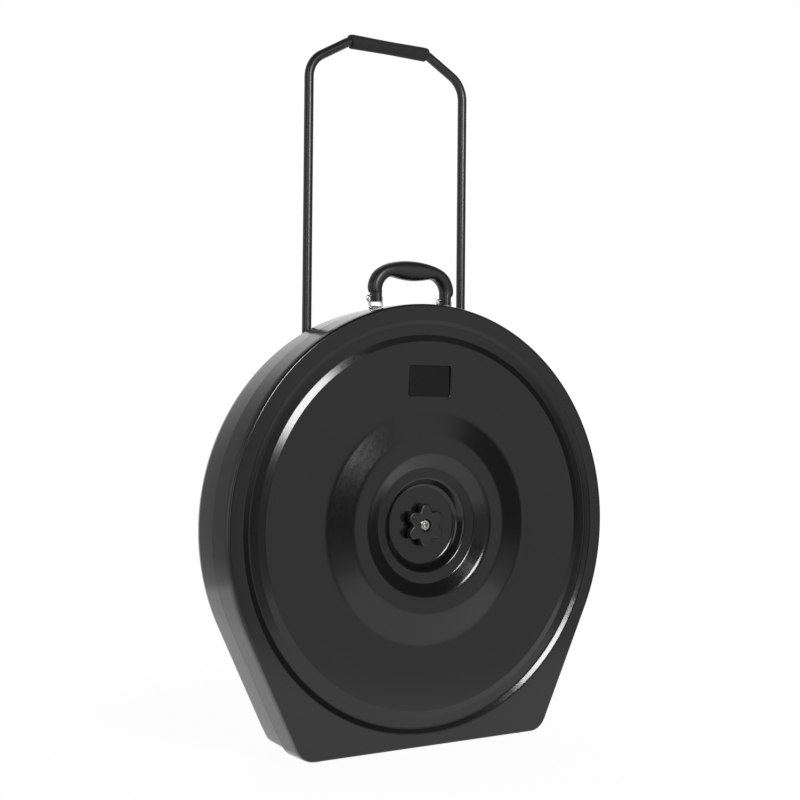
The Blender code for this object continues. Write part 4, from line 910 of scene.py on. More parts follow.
def rear_recesses(grow):
    """Channels, wheel arches and bracket seats, grown by a wall for the inside."""
    cutters = []
    channel_foot = GUIDE_BOTTOM - CAP_HEIGHT - CLEARANCE - grow
    collar_seat = GUIDE_TOP + CLEARANCE - CHANNEL_GAP - grow
    reach = SEAT_HALF_DEPTH + min(grow, HANDLE_DEPTH - SEAT_HALF_DEPTH - REAR_START)
    seat = rounded_rectangle(SEAT_HALF_WIDTH + grow, reach, SEAT_CORNER + min(grow, CLEARANCE))
    for sign in SIDE_SIGNS.values():
        for radius, low, high in ((GUIDE_RADIUS, channel_foot, CASE_RADIUS + OVERRUN),
                                  (COLLAR_RADIUS, collar_seat, CASE_RADIUS + 2 * OVERRUN)):
            cutters.append(bar_upright(radius + CHANNEL_GAP + grow, sign * TROLLEY_X, TROLLEY_DEPTH,
                                       low, high, ROUND_SIDES))
        cutters.append(bar_across(ARCH_RADIUS + grow, sign * WHEEL.x, ARCH_HALF + grow, ROUND_SIDES))
        cutters.append(skin([[at(sign * RING_X + p.x, HANDLE_DEPTH + p.y, level) for p in seat]
                             for level in (SEAT_LEVEL - grow, CASE_RADIUS + OVERRUN)]))
    return cutters


def clamp_rivet_hole(x, level, front, back):
    """Cutter for a clamp's rivet, from so far before to so far behind the rear face."""
    return bar_through(CLAMP_RIVET_RADIUS + CLEARANCE, x, CASE_DEPTH - front, CASE_DEPTH + back, level,
                       TINY_SIDES)


def bracket_rivet_hole(x, depth, drop):
    """Cutter for a bracket's rivet, from so far under the seat upwards."""
    return bar_upright(BRACKET_RIVET_RADIUS + CLEARANCE, x, depth, SEAT_LEVEL - drop, SEAT_LEVEL + OVERRUN,
                       TINY_SIDES)


def rear_holes():
    """Holes for the bolt, the axles, the clamps' rivets and the brackets' rivets."""
    holes = []
    for sign in SIDE_SIGNS.values():
        holes.append(bar_across(AXLE_RADIUS + CLEARANCE, sign * WHEEL.x, ARCH_HALF + WALL + OVERRUN))
        for level in CLAMP_LEVELS.values():
            for side in SIDE_SIGNS.values():
                x = sign * TROLLEY_X + side * CLAMP_RIVET_REACH
                holes.append(clamp_rivet_hole(x, level, 2 * OVERRUN, OVERRUN))
        for side in SIDE_SIGNS.values():
            depth = HANDLE_DEPTH + side * BRACKET_RIVET_REACH
            holes.append(bracket_rivet_hole(sign * RING_X, depth, 2 * OVERRUN))
    holes.append(bar_through(BOLT_HOLE_RADIUS, 0, CASE_DEPTH - 4 * OVERRUN, CASE_DEPTH + OVERRUN, 0))
    return holes


def rear_skin(rows, corners):
    """Closed skin through (radius, depth) rows and then through rounded corners."""
    rows = rows + fillet(corners, steps=FINE_FILLET_STEPS)[1:]
    return skin([case_ring(radius, depth, REAR_DROP, REAR_RIM_FROM) for radius, depth in rows])


def rear_shell():
    """Rear half: locating lip, tube channels, wheel arches and bracket seats."""
    profile = rear_profile()
    rim = profile[0][0]
    start = SEAM_DEPTH - LIP_LENGTH
    lip = lid_side_radius(start) - WALL - CLEARANCE
    lip_inside = lip - LIP_THICKNESS
    shell = rear_skin([(lip_inside, start), (lip, start), (lip, REAR_START)],
                      [(lip - WALL, REAR_START, 0), (rim, REAR_START, SEAM_EDGE)] + profile[1:])
    cavity = rear_skin([(lip_inside, start - OVERRUN), (lip_inside, SEAM_DEPTH + WALL),
                        (rim - WALL, SEAM_DEPTH + 2 * WALL)], moved_inwards(profile, WALL))
    shell = combine(shell, combine_all(cavity, rear_recesses(WALL)))
    dress("rear_shell", combine_all(shell, rear_recesses(0) + rear_holes()))


def badge_plate():
    """Bare plate with rounded corners and a fine edge."""
    front, back = depth_range("badge_plate")
    rows = ((-PLATE_EDGE, front), (0, front + PLATE_EDGE), (0, back))
    dress("badge_plate", skin([plate_ring(grow, depth) for grow, depth in rows]))


# Centre bolt, knob and pads


def depth_range(node):
    """First and last depth of a node behind the front plane."""
    low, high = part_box(node)
    return low.y - FRONT_Y, high.y - FRONT_Y


def washer(node, inner, outer, edge=WASHER_EDGE, sides=SMALL_SIDES):
    """Ring around the case's axis with rounded edges."""
    front, back = depth_range(node)
    corners = [(outer, front, edge), (outer, back, edge), (inner, back, edge), (inner, front, edge)]
    return turned(corners, at(0, 0, 0), "Y", sides, SMALL_TURNED_STEPS)


def hexagon(front, back, bore=0.0, both=True):
    """Hex prism with turned chamfers and an optional bore."""
    prism = bar_through(HEX_RADIUS, 0, front, back, 0, HEX_SIDES)
    flat = HEX_RADIUS * math.cos(math.pi / HEX_SIDES) * HEX_TURNED_SHARE
    start = [(0, front), (flat, front), (HEX_RADIUS + CLEARANCE, front + HEX_CHAMFER)]
    end = [(HEX_RADIUS + CLEARANCE, back - HEX_CHAMFER), (flat, back), (0, back)]
    if not both:
        start = [(0, front), (HEX_RADIUS + CLEARANCE, front)]
    nut = combine(prism, lathe(start + end, at(0, 0, 0), "Y", ROUND_SIDES), "INTERSECT")
    if bore > 0:
        nut = combine(nut, bar_through(bore, 0, front - OVERRUN, back + OVERRUN, 0))
    return nut


def threaded_rings(front, back):
    """Rings of the bolt with its helical thread between two depths."""
    rings = []
    count = int((back - front) / THREAD_PITCH * THREAD_STEPS)
    for k in range(count + 1):
        depth = front + (back - front) * k / count
        run_in = min(1.0, 2 * (depth - front) / THREAD_PITCH, 2 * (back - depth) / THREAD_PITCH)
        ring = []
        for i in range(BOLT_SIDES):
            phase = (depth / THREAD_PITCH + i / BOLT_SIDES) % 1.0
            cut = THREAD_DEPTH * abs(2 * phase - 1) * run_in
            ring.append(polar(BOLT_RADIUS - cut, math.tau * i / BOLT_SIDES, depth))
        rings.append(ring)
    return rings


def circle(radius, depth, sides, start=0.0):
    """Circle around the case's axis."""
    return [polar(radius, start + math.tau * i / sides, depth) for i in range(sides)]


def bolt_parts():
    """Threaded bolt from the rear face to the knob, with its washers, nut, sleeve and felts."""
    tip, end = depth_range("centre_bolt")
    head = depth_range("rear_bolt_washer")[1] + CLEARANCE
    thread_end = depth_range("bolt_sleeve")[0] + WASHER_RADIUS
    rings = [circle(BOLT_RADIUS - BOLT_TIP_CHAMFER, tip, BOLT_SIDES)]
    rings += threaded_rings(tip + BOLT_TIP_CHAMFER / 2, thread_end)
    rings.append(circle(BOLT_RADIUS, head + HEX_CHAMFER, BOLT_SIDES))
    bolt = combine(skin(rings), hexagon(head, end, both=False), "UNION")
    mark = [(0, tip - OVERRUN), (BOLT_MARK_RADIUS, tip - OVERRUN), (BOLT_MARK_RADIUS, tip),
            (BOLT_MARK_FLOOR_RADIUS, tip + BOLT_MARK_DEPTH), (0, tip + BOLT_MARK_DEPTH)]
    dress("centre_bolt", combine(bolt, lathe(mark, at(0, 0, 0), "Y", ROUND_SIDES)))

    dress("rear_bolt_washer", washer("rear_bolt_washer", BOLT_HOLE_RADIUS, WASHER_RADIUS))
    dress("backing_plate", washer("backing_plate", BOLT_HOLE_RADIUS, BACKING_RADIUS, sides=ROUND_SIDES))
    dress("lock_nut", hexagon(*depth_range("lock_nut"), bore=BOLT_HOLE_RADIUS))
    dress("bolt_sleeve", washer("bolt_sleeve", BOLT_HOLE_RADIUS, SLEEVE_RADIUS, SLEEVE_EDGE))
    for node in ("felt_washer_rear", "felt_washer_front"):
        disc = washer(node, SLEEVE_RADIUS + CLEARANCE, FELT_RADIUS, FELT_EDGE, ROUND_SIDES)
        roughen(disc, FELT_RELIEF, FELT_WAVES)
        dress(node, disc)


def roughen(bm, reach, scale):
    """Soft uneven surface: each point moves a little along its normal."""
    bm.normal_update()
    moves = [(v, v.normal * noise.noise(v.co * scale) * reach) for v in bm.verts]
    for vertex, move in moves:
        vertex.co += move


def foam_ring(node, corners, reliefs=()):
    """Foam ring with soft edges and an uneven face."""
    profile = fillet(corners, closed=True, steps=TURNED_STEPS)
    fine = []
    for start, end in zip(profile, profile[1:] + profile[:1]):
        steps = max(1, int((end - start).length / PAD_SPACING))
        fine += [start.lerp(end, i / steps) for i in range(steps)]
    pad = lathe(fine, at(0, 0, 0), "Y", PAD_SIDES)
    roughen(pad, PAD_RELIEF, PAD_WAVES)
    dress(node, combine_all(pad, reliefs))


def foam_pads():
    """Foam ring on the rear shell, and one that follows the lid's dish."""
    front, back = depth_range("foam_pad_rear")
    back -= CLEARANCE
    foam_ring("foam_pad_rear", [(PAD_REAR_RADIUS, front, PAD_EDGE), (PAD_REAR_RADIUS, back, CLEARANCE),
                                (PAD_REAR_HOLE, back, CLEARANCE), (PAD_REAR_HOLE, front, PAD_EDGE)])
    low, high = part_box("foam_pad_front")
    rim, hole = (high.x - low.x) / 2, PAD_FRONT_HOLE
    near, far = (dish_depth(0, radius) + WALL + 4 * CLEARANCE for radius in (hole, rim))
    corners = [(rim, far + PAD_THICKNESS, PAD_EDGE), (rim, far, CLEARANCE), (hole, near, CLEARANCE),
               (hole, near + PAD_THICKNESS, PAD_EDGE)]
    foam_ring("foam_pad_front", corners, [pocket_block(0, 2 * CLEARANCE)])


def star_reach(turn):
    """Radius of the knob's outline: broad lobes with narrow valleys."""
    wave = (1 - math.cos(KNOB_LOBES * turn)) / 2
    return KNOB_RADIUS - (KNOB_RADIUS - KNOB_VALLEY_RADIUS) * wave ** VALLEY_SHARPNESS


def star_ring(inset, depth):
    """Outline of the knob with one lobe straight up, moved in by an inset."""
    spots = []
    for i in range(KNOB_SIDES):
        turn = math.tau * i / KNOB_SIDES
        reach = star_reach(turn)
        spots.append(Vector((-reach * math.sin(turn), reach * math.cos(turn))))
    points = []
    for i, spot in enumerate(spots):
        run = (spots[(i + 1) % KNOB_SIDES] - spots[i - 1]).normalized()
        moved = spot + Vector((-run.y, run.x)) * inset
        points.append(at(moved.x, depth, moved.y))
    return points


def star_knob():
    """Six-lobed knob with rounded edges and a hub behind, its hex insert and its washer."""
    front, back = depth_range("star_knob")
    head_back = front + KNOB_HEAD_HEIGHT
    rings = [star_ring(inset, front + down) for inset, down in quarter_round(KNOB_EDGE)]
    rings += [star_ring(inset, head_back - down) for inset, down in reversed(quarter_round(KNOB_EDGE / 2))]
    for radius, depth in ((KNOB_HUB_RADIUS + KNOB_HUB_FLARE, head_back),
                          (KNOB_HUB_RADIUS, head_back + KNOB_HUB_FLARE),
                          (KNOB_HUB_RADIUS, back - KNOB_HUB_EDGE),
                          (KNOB_HUB_RADIUS - KNOB_HUB_EDGE, back)):
        rings.append(circle(radius, depth, KNOB_SIDES, start=math.pi / 2))
    insert_front, insert_back = depth_range("knob_insert")
    floor = insert_back + CLEARANCE
    mouth = KNOB_BORE_RADIUS + KNOB_BORE_EDGE
    bore = [(0, front - OVERRUN), (mouth, front - OVERRUN), (mouth, front),
            (KNOB_BORE_RADIUS, front + KNOB_BORE_EDGE), (KNOB_BORE_RADIUS, floor), (0, floor)]
    knob = combine(skin(rings), lathe(bore, at(0, 0, 0), "Y", ROUND_SIDES))
    dress("star_knob", combine(knob, bar_through(BOLT_HOLE_RADIUS, 0, front, back + OVERRUN, 0)))
    dress("knob_insert", hexagon(insert_front, insert_back, bore=BOLT_HOLE_RADIUS))
    dress("knob_washer", washer("knob_washer", BOLT_HOLE_RADIUS, KNOB_WASHER_RADIUS))


# Carry handle


def between(rows, steps):
    """Rows of numbers with Catmull-Rom rows added between them."""
    fine = []
    last = len(rows) - 1
    for i in range(last):
        four = [rows[max(i - 1, 0)], rows[i], rows[i + 1], rows[min(i + 2, last)]]
        for k in range(steps):
            t = k / steps
            weights = (-t ** 3 + 2 * t ** 2 - t, 3 * t ** 3 - 5 * t ** 2 + 2,
                       -3 * t ** 3 + 4 * t ** 2 + t, t ** 3 - t ** 2)
            fine.append([sum(w * row[j] for w, row in zip(weights, four)) / 2 for j in range(len(rows[0]))])
    fine.append(list(rows[last]))
    return fine


def handle_section(outer, inner, half_thickness):
    """Rounded section of the handle, with a moulding bead along its outer side."""
    centre = (outer + inner) / 2
    half = (outer - inner) / 2
    power = 2 / HANDLE_SQUARENESS
    points = []
    for i in range(HANDLE_SIDES):
        turn = math.tau * i / HANDLE_SIDES
        across = math.copysign(abs(math.cos(turn)) ** power, math.cos(turn))
        deep = half_thickness * math.copysign(abs(math.sin(turn)) ** power, math.sin(turn))
        bead = HANDLE_BEAD * math.exp(-(deep / HANDLE_BEAD_WIDTH) ** 2) if across > 0 else 0
        spot = centre + half * across + half.normalized() * bead
        points.append(at(spot.x, HANDLE_DEPTH + deep, spot.y))
    return points


def carry_handle():
    """Moulded arch, lofted from post to post, with a hole for each ring."""
    tables = zip(HANDLE_OUTER_SHARES, HANDLE_INNER_SHARES, HANDLE_THICKNESS_SHARES)
    rows = [(*outer, *inner, share) for outer, inner, share in tables]
    mirrored = [(-a, b, -c, d, e) for a, b, c, d, e in reversed(rows[:-1])]
    rings = []
    for a, b, c, d, share in between(rows + mirrored, HANDLE_ROW_STEPS):
        outer = Vector((a * HANDLE_HALF_SPAN, HANDLE_FOOT + b * HANDLE_RISE))
        inner = Vector((c * HANDLE_HALF_SPAN, HANDLE_FOOT + d * HANDLE_RISE))
        rings.append(handle_section(outer, inner, share * HANDLE_HALF_THICKNESS))
    span = HANDLE_HALF_SPAN + OVERRUN
    hole = bar(RING_HOLE_RADIUS, at(-span, HANDLE_DEPTH, RING_UPPER), at(span, HANDLE_DEPTH, RING_UPPER))
    dress("carry_handle", combine(skin(rings), hole))


def handle_ring(side, x):
    """Closed wire ring whose left leg ends in an ear beside the post; both rings are alike."""
    ear_x = x - RING_HALF_WIDTH - RING_SPREAD
    ear_side = ear_x - RING_EAR_RADIUS
    ear_level = RING_UPPER - RING_EAR_RADIUS
    knee_level = ear_level - RING_EAR_RADIUS - RING_WIRE_RADIUS
    corners = [
        (x + RING_HALF_WIDTH, RING_LOWER, RING_CORNER),
        (x + RING_TOP_HALF_WIDTH, RING_UPPER, RING_CORNER),
        (ear_side, RING_UPPER, RING_EAR_RADIUS),
        (ear_side, ear_level - RING_WIRE_RADIUS, RING_EAR_RADIUS),
        (ear_x + CLEARANCE, knee_level, RING_KNEE_RADIUS),
        (x - RING_HALF_WIDTH, RING_LOWER, RING_CORNER),
    ]
    path = [at(p.x, HANDLE_DEPTH, p.y) for p in fillet(corners, closed=True, steps=FINE_FILLET_STEPS)]
    rings = planar_rings(path, [RING_WIRE_RADIUS] * len(path), WIRE_SIDES, closed=True)
    dress(f"handle_ring_{side}", skin(rings, around=True))


def saddle_outline(half_span, thickness, inner, rise, steps):
    """Half-round saddle with flat ears: points of (across, height above the seat)."""
    outer = inner + thickness
    arc = [i * math.pi / steps for i in range(steps + 1)]
    foot = math.asin((thickness - rise) / outer) if rise < thickness else 0
    over = [foot + (math.pi - 2 * foot) * i / steps for i in range(steps + 1)]
    points = [(half_span, 0), (half_span, thickness)]
    if rise > thickness:
        points.append((outer, thickness))
    points += [(outer * math.cos(turn), rise + outer * math.sin(turn)) for turn in over]
    if rise > thickness:
        points.append((-outer, thickness))
    points += [(-half_span, thickness), (-half_span, 0), (-inner, 0)]
    points += [(inner * math.cos(turn), rise + inner * math.sin(turn)) for turn in reversed(arc)]
    points.append((inner, 0))
    return points


def rivet(node, shank_radius, head_radius, axis, spot, grip, head_height):
    """Rivet with a domed head."""
    profile = [(0, 0), (shank_radius, 0), (shank_radius, grip), (head_radius, grip)]
    for i in range(1, RIVET_STEPS):
        turn = math.pi / 2 * i / RIVET_STEPS
        profile.append((head_radius * math.cos(turn), grip + head_height * math.sin(turn)))
    profile.append((0, grip + head_height))
    dress(node, lathe(profile, spot, axis, TINY_SIDES))


def handle_bracket(side, x):
    """Strap over a ring's lower bar, held by two domed rivets."""
    seat = SEAT_LEVEL + CLEARANCE
    outline = saddle_outline(BRACKET_HALF_DEPTH, BRACKET_THICKNESS, RING_WIRE_RADIUS + BRACKET_PLAY,
                             RING_LOWER - seat, BRACKET_STEPS)
    low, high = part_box(f"handle_bracket_{side}")
    bracket = skin([[at(end, HANDLE_DEPTH + across, seat + up) for across, up in outline]
                    for end in (low.x, high.x)])
    grip = WALL + CLEARANCE + BRACKET_THICKNESS + CLEARANCE
    for end, sign in (("front", -1), ("rear", 1)):
        depth = HANDLE_DEPTH + sign * BRACKET_RIVET_REACH
        bracket = combine(bracket, bracket_rivet_hole(x, depth, OVERRUN))
        rivet(f"bracket_rivet_{side}_{end}", BRACKET_RIVET_RADIUS, BRACKET_RIVET_HEAD, "Z",
              at(x, depth, SEAT_LEVEL - WALL), grip, BRACKET_RIVET_DOME)
    dress(f"handle_bracket_{side}", bracket, edge=HAIR_EDGE)


# Trolley handle


def trolley_path():
    """Centre line of the trolley handle, from one leg's foot to the other's."""
    low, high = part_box("trolley_tube")
    bar_level = high.z - TROLLEY_RADIUS - CENTRE_HEIGHT
    half = [(TROLLEY_X, low.z - CENTRE_HEIGHT, 0),
            (TROLLEY_X, bar_level - TROLLEY_SHOULDER_DROP, TROLLEY_BEND),
            (TROLLEY_BAR_HALF, bar_level, TROLLEY_BAR_BEND)]
    corners = half + [(-x, z, radius) for x, z, radius in reversed(half)]
    return [at(p.x, TROLLEY_DEPTH, p.y) for p in fillet(corners, steps=BEND_STEPS)]


def sleeve(path, radii, bore):
    """Tube along a path with the given outer radii and an even bore."""
    outer = planar_rings(path, radii, SMALL_SIDES)
    inner = planar_rings(path, [bore] * len(path), SMALL_SIDES)
    return skin(outer + list(reversed(inner)), around=True)


def trolley_tube():
    """Hollow steel tube: two legs, sloping shoulders and a top bar."""
    path = trolley_path()
    dress("trolley_tube", sleeve(path, [TROLLEY_RADIUS] * len(path), TROLLEY_RADIUS - TROLLEY_WALL))


def resampled(path, spacing):
    """Path with points added so that none are further apart than the spacing."""
    fine = []
    for start, end in zip(path, path[1:]):
        steps = max(1, math.ceil((end - start).length / spacing))
        fine += [start.lerp(end, i / steps) for i in range(steps)]
    fine.append(path[-1])
    return fine


def trolley_grip():
    """Foam sleeve over the top bar, with soft round ends and a faint waist."""
    path = [point for point in resampled(trolley_path(), GRIP_SPACING) if abs(point.x) <= GRIP_HALF_LENGTH]
    length = sum((b - a).length for a, b in zip(path, path[1:]))
    radii = []
    run = 0.0
    for i, point in enumerate(path):
        if i:
            run += (point - path[i - 1]).length
        short = max(0.0, 1 - min(run, length - run) / GRIP_END_ROUND)
        round_off = GRIP_END_ROUND * (1 - math.sqrt(1 - short ** 2)) * GRIP_END_SHARE
        swell = GRIP_SWELL * math.cos(math.tau * run / length)
        radii.append(GRIP_RADIUS - GRIP_SWELL - round_off + swell)
    dress("trolley_grip", sleeve(path, radii, TROLLEY_RADIUS + CLEARANCE / 2), smooth_angle=GRIP_SMOOTH_ANGLE)


def guide_parts(side, x):
    """Guide tube of one leg, with its collar, its end cap and the leg's own stop."""
    axis = at(x, TROLLEY_DEPTH, 0)

    def levels(node):
        """Lowest and highest level of one of this side's nodes."""
        low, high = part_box(f"{node}_{side}")
        return low.z - CENTRE_HEIGHT, high.z - CENTRE_HEIGHT

    low, high = levels("guide_tube")
    tube = [(GUIDE_RADIUS, high, HAIR_EDGE), (GUIDE_RADIUS, low, HAIR_EDGE),
            (GUIDE_BORE, low, HAIR_EDGE), (GUIDE_BORE, high, HAIR_EDGE)]
    dress(f"guide_tube_{side}", turned(tube, axis, "Z"))

    low, high = levels("guide_collar")
    throat = TROLLEY_RADIUS + CLEARANCE
    spigot = GUIDE_BORE - CLEARANCE
    seat = GUIDE_TOP + CLEARANCE
    collar = [(COLLAR_RADIUS, high, COLLAR_EDGE), (COLLAR_RADIUS, seat, SEAT_EDGE), (spigot, seat, 0),
              (spigot, low, HAIR_EDGE), (throat, low, HAIR_EDGE), (throat, high, MOUTH_EDGE)]
    dress(f"guide_collar_{side}", turned(collar, axis, "Z"))

    low, high = levels("guide_end_cap")
    seat = GUIDE_BOTTOM - CLEARANCE
    cap = [(0, high, 0), (spigot, high, MOUTH_EDGE), (spigot, seat, 0), (GUIDE_RADIUS, seat, HAIR_EDGE),
           (GUIDE_RADIUS, low, CAP_EDGE), (0, low, 0)]
    dress(f"guide_end_cap_{side}", turned(cap, axis, "Z"))

    low, high = levels("tube_stop")
    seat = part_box("trolley_tube")[0].z - CENTRE_HEIGHT - CLEARANCE
    plug = TROLLEY_RADIUS - TROLLEY_WALL - CLEARANCE - HAIR_EDGE
    stop = [(0, high, 0), (plug, high, MOUTH_EDGE), (plug, seat, 0), (spigot, seat, SEAT_EDGE),
            (spigot, low, MOUTH_EDGE), (0, low, 0)]
    dress(f"tube_stop_{side}", turned(stop, axis, "Z", steps=SMALL_TURNED_STEPS))


def clamp_parts(side, x):
    """Two saddle clamps over one guide tube, each held by a rivet at either ear."""
    inner = GUIDE_RADIUS + CLEARANCE
    seat = CASE_DEPTH + CLEARANCE
    outline = saddle_outline(inner + CLAMP_THICKNESS + CLAMP_EAR, CLAMP_THICKNESS, inner,
                             TROLLEY_DEPTH - seat, CLAMP_STEPS)
    grip = WALL + CLEARANCE + CLAMP_THICKNESS + CLEARANCE
    for level, height in CLAMP_LEVELS.items():
        name = f"guide_clamp_{level}_{side}"
        clamp = skin([[at(x + across, seat + up, height + end) for across, up in outline]
                      for end in (-CLAMP_HALF_WIDTH, CLAMP_HALF_WIDTH)])
        for ear, sign in SIDE_SIGNS.items():
            reach = x + sign * CLAMP_RIVET_REACH
            clamp = combine(clamp, clamp_rivet_hole(reach, height, OVERRUN, 2 * OVERRUN))
            rivet(f"{name}_rivet_{ear}", CLAMP_RIVET_RADIUS, CLAMP_RIVET_HEAD, "Y",
                  at(reach, CASE_DEPTH - WALL, height), grip, CLAMP_RIVET_DOME)
        dress(name, clamp, edge=CLAMP_EDGE)


# Wheels and feet


def mirrored_along(half):
    """(radius, along, rounding) corners followed by their mirror image."""
    return half + [(radius, -along, edge) for radius, along, edge in reversed(half)]


def wheel_parts(side, x):
    """Grooved tyre, webbed hub and riveted axle of one wheel."""
    centre = at(x, WHEEL_DEPTH, WHEEL_LEVEL)
    rim = WHEEL_RADIUS - TYRE_THICKNESS
    groove_floor = WHEEL_RADIUS - TREAD_GROOVE_DEPTH
    corners = [(rim, WHEEL_HALF, HUB_EDGE), (WHEEL_RADIUS, WHEEL_HALF, TYRE_EDGE)]
    for groove in reversed(TREAD_GROOVES):
        for share, reach in ((1, WHEEL_RADIUS), (0.5, groove_floor), (-0.5, groove_floor), (-1, WHEEL_RADIUS)):
            corners.append((reach, groove + share * TREAD_GROOVE_HALF, TREAD_GROOVE_EDGE))
    corners += [(WHEEL_RADIUS, -WHEEL_HALF, TYRE_EDGE), (rim, -WHEEL_HALF, HUB_EDGE)]
    dress(f"wheel_tyre_{side}", turned(corners, centre, "X", ROUND_SIDES))

    felly = rim - CLEARANCE
    inner_rim = felly - HUB_RIM
    boss = ARCH_HALF - CLEARANCE
    hub = mirrored_along([
        (AXLE_RADIUS + CLEARANCE, boss, HUB_EDGE), (HUB_BOSS_RADIUS, boss, HUB_EDGE),
        (HUB_BOSS_RADIUS, HUB_WEB_HALF, HUB_CORNER), (inner_rim, HUB_WEB_HALF, HUB_CORNER),
        (inner_rim, WHEEL_HALF, HUB_EDGE), (felly, WHEEL_HALF, HUB_EDGE),
    ])
    wheel = turned(hub, centre, "X", ROUND_SIDES)
    ring = (HUB_BOSS_RADIUS + inner_rim) / 2
    reach = Vector((WHEEL_HALF, 0, 0))
    for i in range(HUB_HOLES):
        turn = math.tau * i / HUB_HOLES
        spot = centre + Vector((0, ring * math.cos(turn), ring * math.sin(turn)))
        wheel = combine(wheel, bar(HUB_HOLE_RADIUS, spot - reach, spot + reach, TINY_SIDES))
    dress(f"wheel_hub_{side}", wheel)

    seat = ARCH_HALF + WALL + CLEARANCE
    end = seat + AXLE_HEAD_HEIGHT
    axle = mirrored_along([(0, end, 0), (AXLE_HEAD_RADIUS, end, AXLE_HEAD_EDGE),
                           (AXLE_HEAD_RADIUS, seat, HAIR_EDGE), (AXLE_RADIUS, seat, 0)])
    dress(f"wheel_axle_{side}", turned(axle, centre, "X", steps=SMALL_TURNED_STEPS))


def foot(side):
    """Rubber foot with a barbed stem through the lid's base."""
    low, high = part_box(f"foot_{side}")
    spot = Vector((middle(f"foot_{side}").x, (low.y + high.y) / 2, 0))
    growth = lid_side_radius(spot.y - FRONT_Y + FOOT_RADIUS) - CASE_RADIUS
    under = LID_LOW.z + LID_DRAFT - growth - CLEARANCE
    barb = high.z - FOOT_BARB_HEIGHT
    cup = low.z + FOOT_CUP_DEPTH
    corners = [(0, high.z, 0), (FOOT_STEM_RADIUS, high.z, CLEARANCE), (FOOT_BARB_RADIUS, barb, CLEARANCE),
               (FOOT_STEM_RADIUS, barb, 0), (FOOT_STEM_RADIUS, under, 0), (FOOT_RADIUS, under, CLEARANCE),
               (FOOT_RADIUS, low.z, FOOT_EDGE), (FOOT_CUP_RADIUS, low.z, 0),
               (FOOT_CUP_FLOOR_RADIUS, cup, 0), (0, cup, 0)]
    dress(f"foot_{side}", turned(corners, spot, "Z"))


# Camera, floor and light


def add_camera():
    """Camera at the photograph's place, found from the circles of the lid's face."""
    data = bpy.data.cameras.new("camera")
    data.lens = CAMERA_LENS
    data.sensor_width = CAMERA_SENSOR
    camera = new_object("camera", data)
    ahead = Vector((math.sin(CAMERA_TURN) * math.cos(CAMERA_PITCH),
                    math.cos(CAMERA_TURN) * math.cos(CAMERA_PITCH), math.sin(CAMERA_PITCH)))
    level = Vector((math.cos(CAMERA_TURN), -math.sin(CAMERA_TURN), 0))
    right = level * math.cos(CAMERA_ROLL) + level.cross(ahead) * math.sin(CAMERA_ROLL)
    turn = Matrix((right, right.cross(ahead), -ahead)).transposed().to_4x4()
    camera.matrix_world = Matrix.Translation(CAMERA_PLACE) @ turn
    bpy.context.scene.camera = camera


def add_floor():
    """White floor around the object that keeps its faint shadow and ends in the white of the world."""
    bm = bmesh.new()
    bmesh.ops.create_circle(bm, cap_ends=True, segments=FLOOR_SIDES, radius=FLOOR_RADIUS)
    floor = new_object("floor", mesh_of("floor", bm))
    made = bpy.data.materials.new("floor")
    nodes = Nodes(made)
    rays = nodes.add("LightPath").outputs
    seen = nodes.maths("MAXIMUM", rays["Is Camera Ray"], rays["Is Glossy Ray"])
    seen = nodes.maths("MAXIMUM", seen, rays["Is Transmission Ray"])
    reach = nodes.add("VectorMath", nodes.place, operation="LENGTH").outputs["Value"]
    share = nodes.ease(reach, *FLOOR_FADE, *FLOOR_GLOW_SHARES)
    diffuse = nodes.add("BsdfDiffuse", FLOOR_COLOUR).outputs[0]
    glow = nodes.add("Emission", WHITE, nodes.ease(reach, *FLOOR_FADE, *FLOOR_GLOWS)).outputs[0]
    nodes.finish("Material", nodes.add("MixShader", nodes.product(seen, share), diffuse, glow))
    floor.data.materials.append(made)


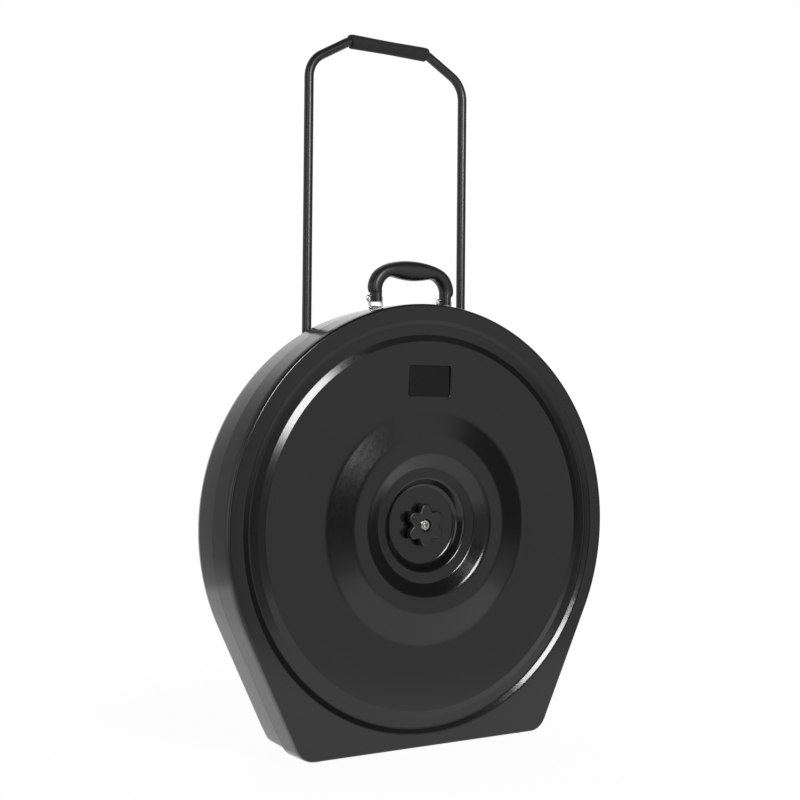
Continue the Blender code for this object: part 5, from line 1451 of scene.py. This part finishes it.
def add_world():
    """White to the camera; for the rest a white backdrop behind the object and a dim studio in front."""
    world = bpy.data.worlds.new("studio")
    bpy.context.scene.world = world
    nodes = Nodes(world, space="Generated")
    parts = nodes.add("SeparateXYZ", nodes.place).outputs
    height = parts["Z"]
    azimuth = nodes.maths("ARCTAN2", parts["X"], nodes.maths("MULTIPLY", parts["Y"], -1.0))
    ahead = (math.sin(CAMERA_TURN), math.cos(CAMERA_TURN), 0)
    along = nodes.add("VectorMath", nodes.place, ahead, operation="DOT_PRODUCT").outputs["Value"]
    backdrop = nodes.product(nodes.ease(parts["Y"], *BACKDROP_FADE),
                             nodes.ease(along, *BACKDROP_SPREAD, *BACKDROP_LEVELS))
    room = nodes.maths("ADD", backdrop, ROOM_LEVEL)
    for azimuths, fade_out, fade_in, radiance in LIT_PARTS:
        start, full, full_end, end = (math.radians(degrees) for degrees in azimuths)
        light = nodes.product(nodes.ease(azimuth, start, full), nodes.ease(azimuth, full_end, end, 1.0, 0.0),
                              nodes.ease(height, *fade_out, 1.0, 0.0), radiance)
        if fade_in:
            light = nodes.product(light, nodes.ease(height, *fade_in))
        room = nodes.maths("ADD", light, room)
    ground = nodes.product(nodes.ease(height, *GROUND_FADE, 1.0, 0.0), GROUND_LEVEL)
    room = nodes.maths("MAXIMUM", room, ground)
    seen = nodes.add("LightPath").outputs["Is Camera Ray"]
    strength = nodes.maths("ADD", nodes.product(room, nodes.maths("SUBTRACT", 1.0, seen)), seen)
    nodes.finish("World", nodes.add("Background", WHITE, strength))


def add_lamp():
    """Round soft box that shines on the middle of the case."""
    level = math.cos(LAMP_ELEVATION)
    way = Vector((math.sin(LAMP_AZIMUTH) * level, -math.cos(LAMP_AZIMUTH) * level, math.sin(LAMP_ELEVATION)))
    data = bpy.data.lights.new("front_box", "AREA")
    data.shape = "DISK"
    data.size = 2 * LAMP_DISTANCE * math.tan(LAMP_HALF_ANGLE)
    data.energy = LAMP_RADIANCE * math.pi * math.pi * (data.size / 2) ** 2
    lamp = new_object("front_box", data)
    lamp.location = Vector((0, 0, CENTRE_HEIGHT)) + way * LAMP_DISTANCE
    lamp.rotation_euler = (-way).to_track_quat("-Z", "Y").to_euler()


def build():
    """Make every piece of the object and its stage."""
    for make in (front_shell, rear_shell, badge_plate, bolt_parts, foam_pads, star_knob, carry_handle,
                 trolley_tube, trolley_grip):
        make()
    for side, sign in SIDE_SIGNS.items():
        handle_ring(side, sign * RING_X)
        handle_bracket(side, sign * RING_X)
        guide_parts(side, sign * TROLLEY_X)
        clamp_parts(side, sign * TROLLEY_X)
        wheel_parts(side, sign * WHEEL.x)
        foot(side)
    add_camera()
    add_floor()
    add_world()
    add_lamp()
    bpy.context.scene.view_settings.view_transform = "Standard"


build()
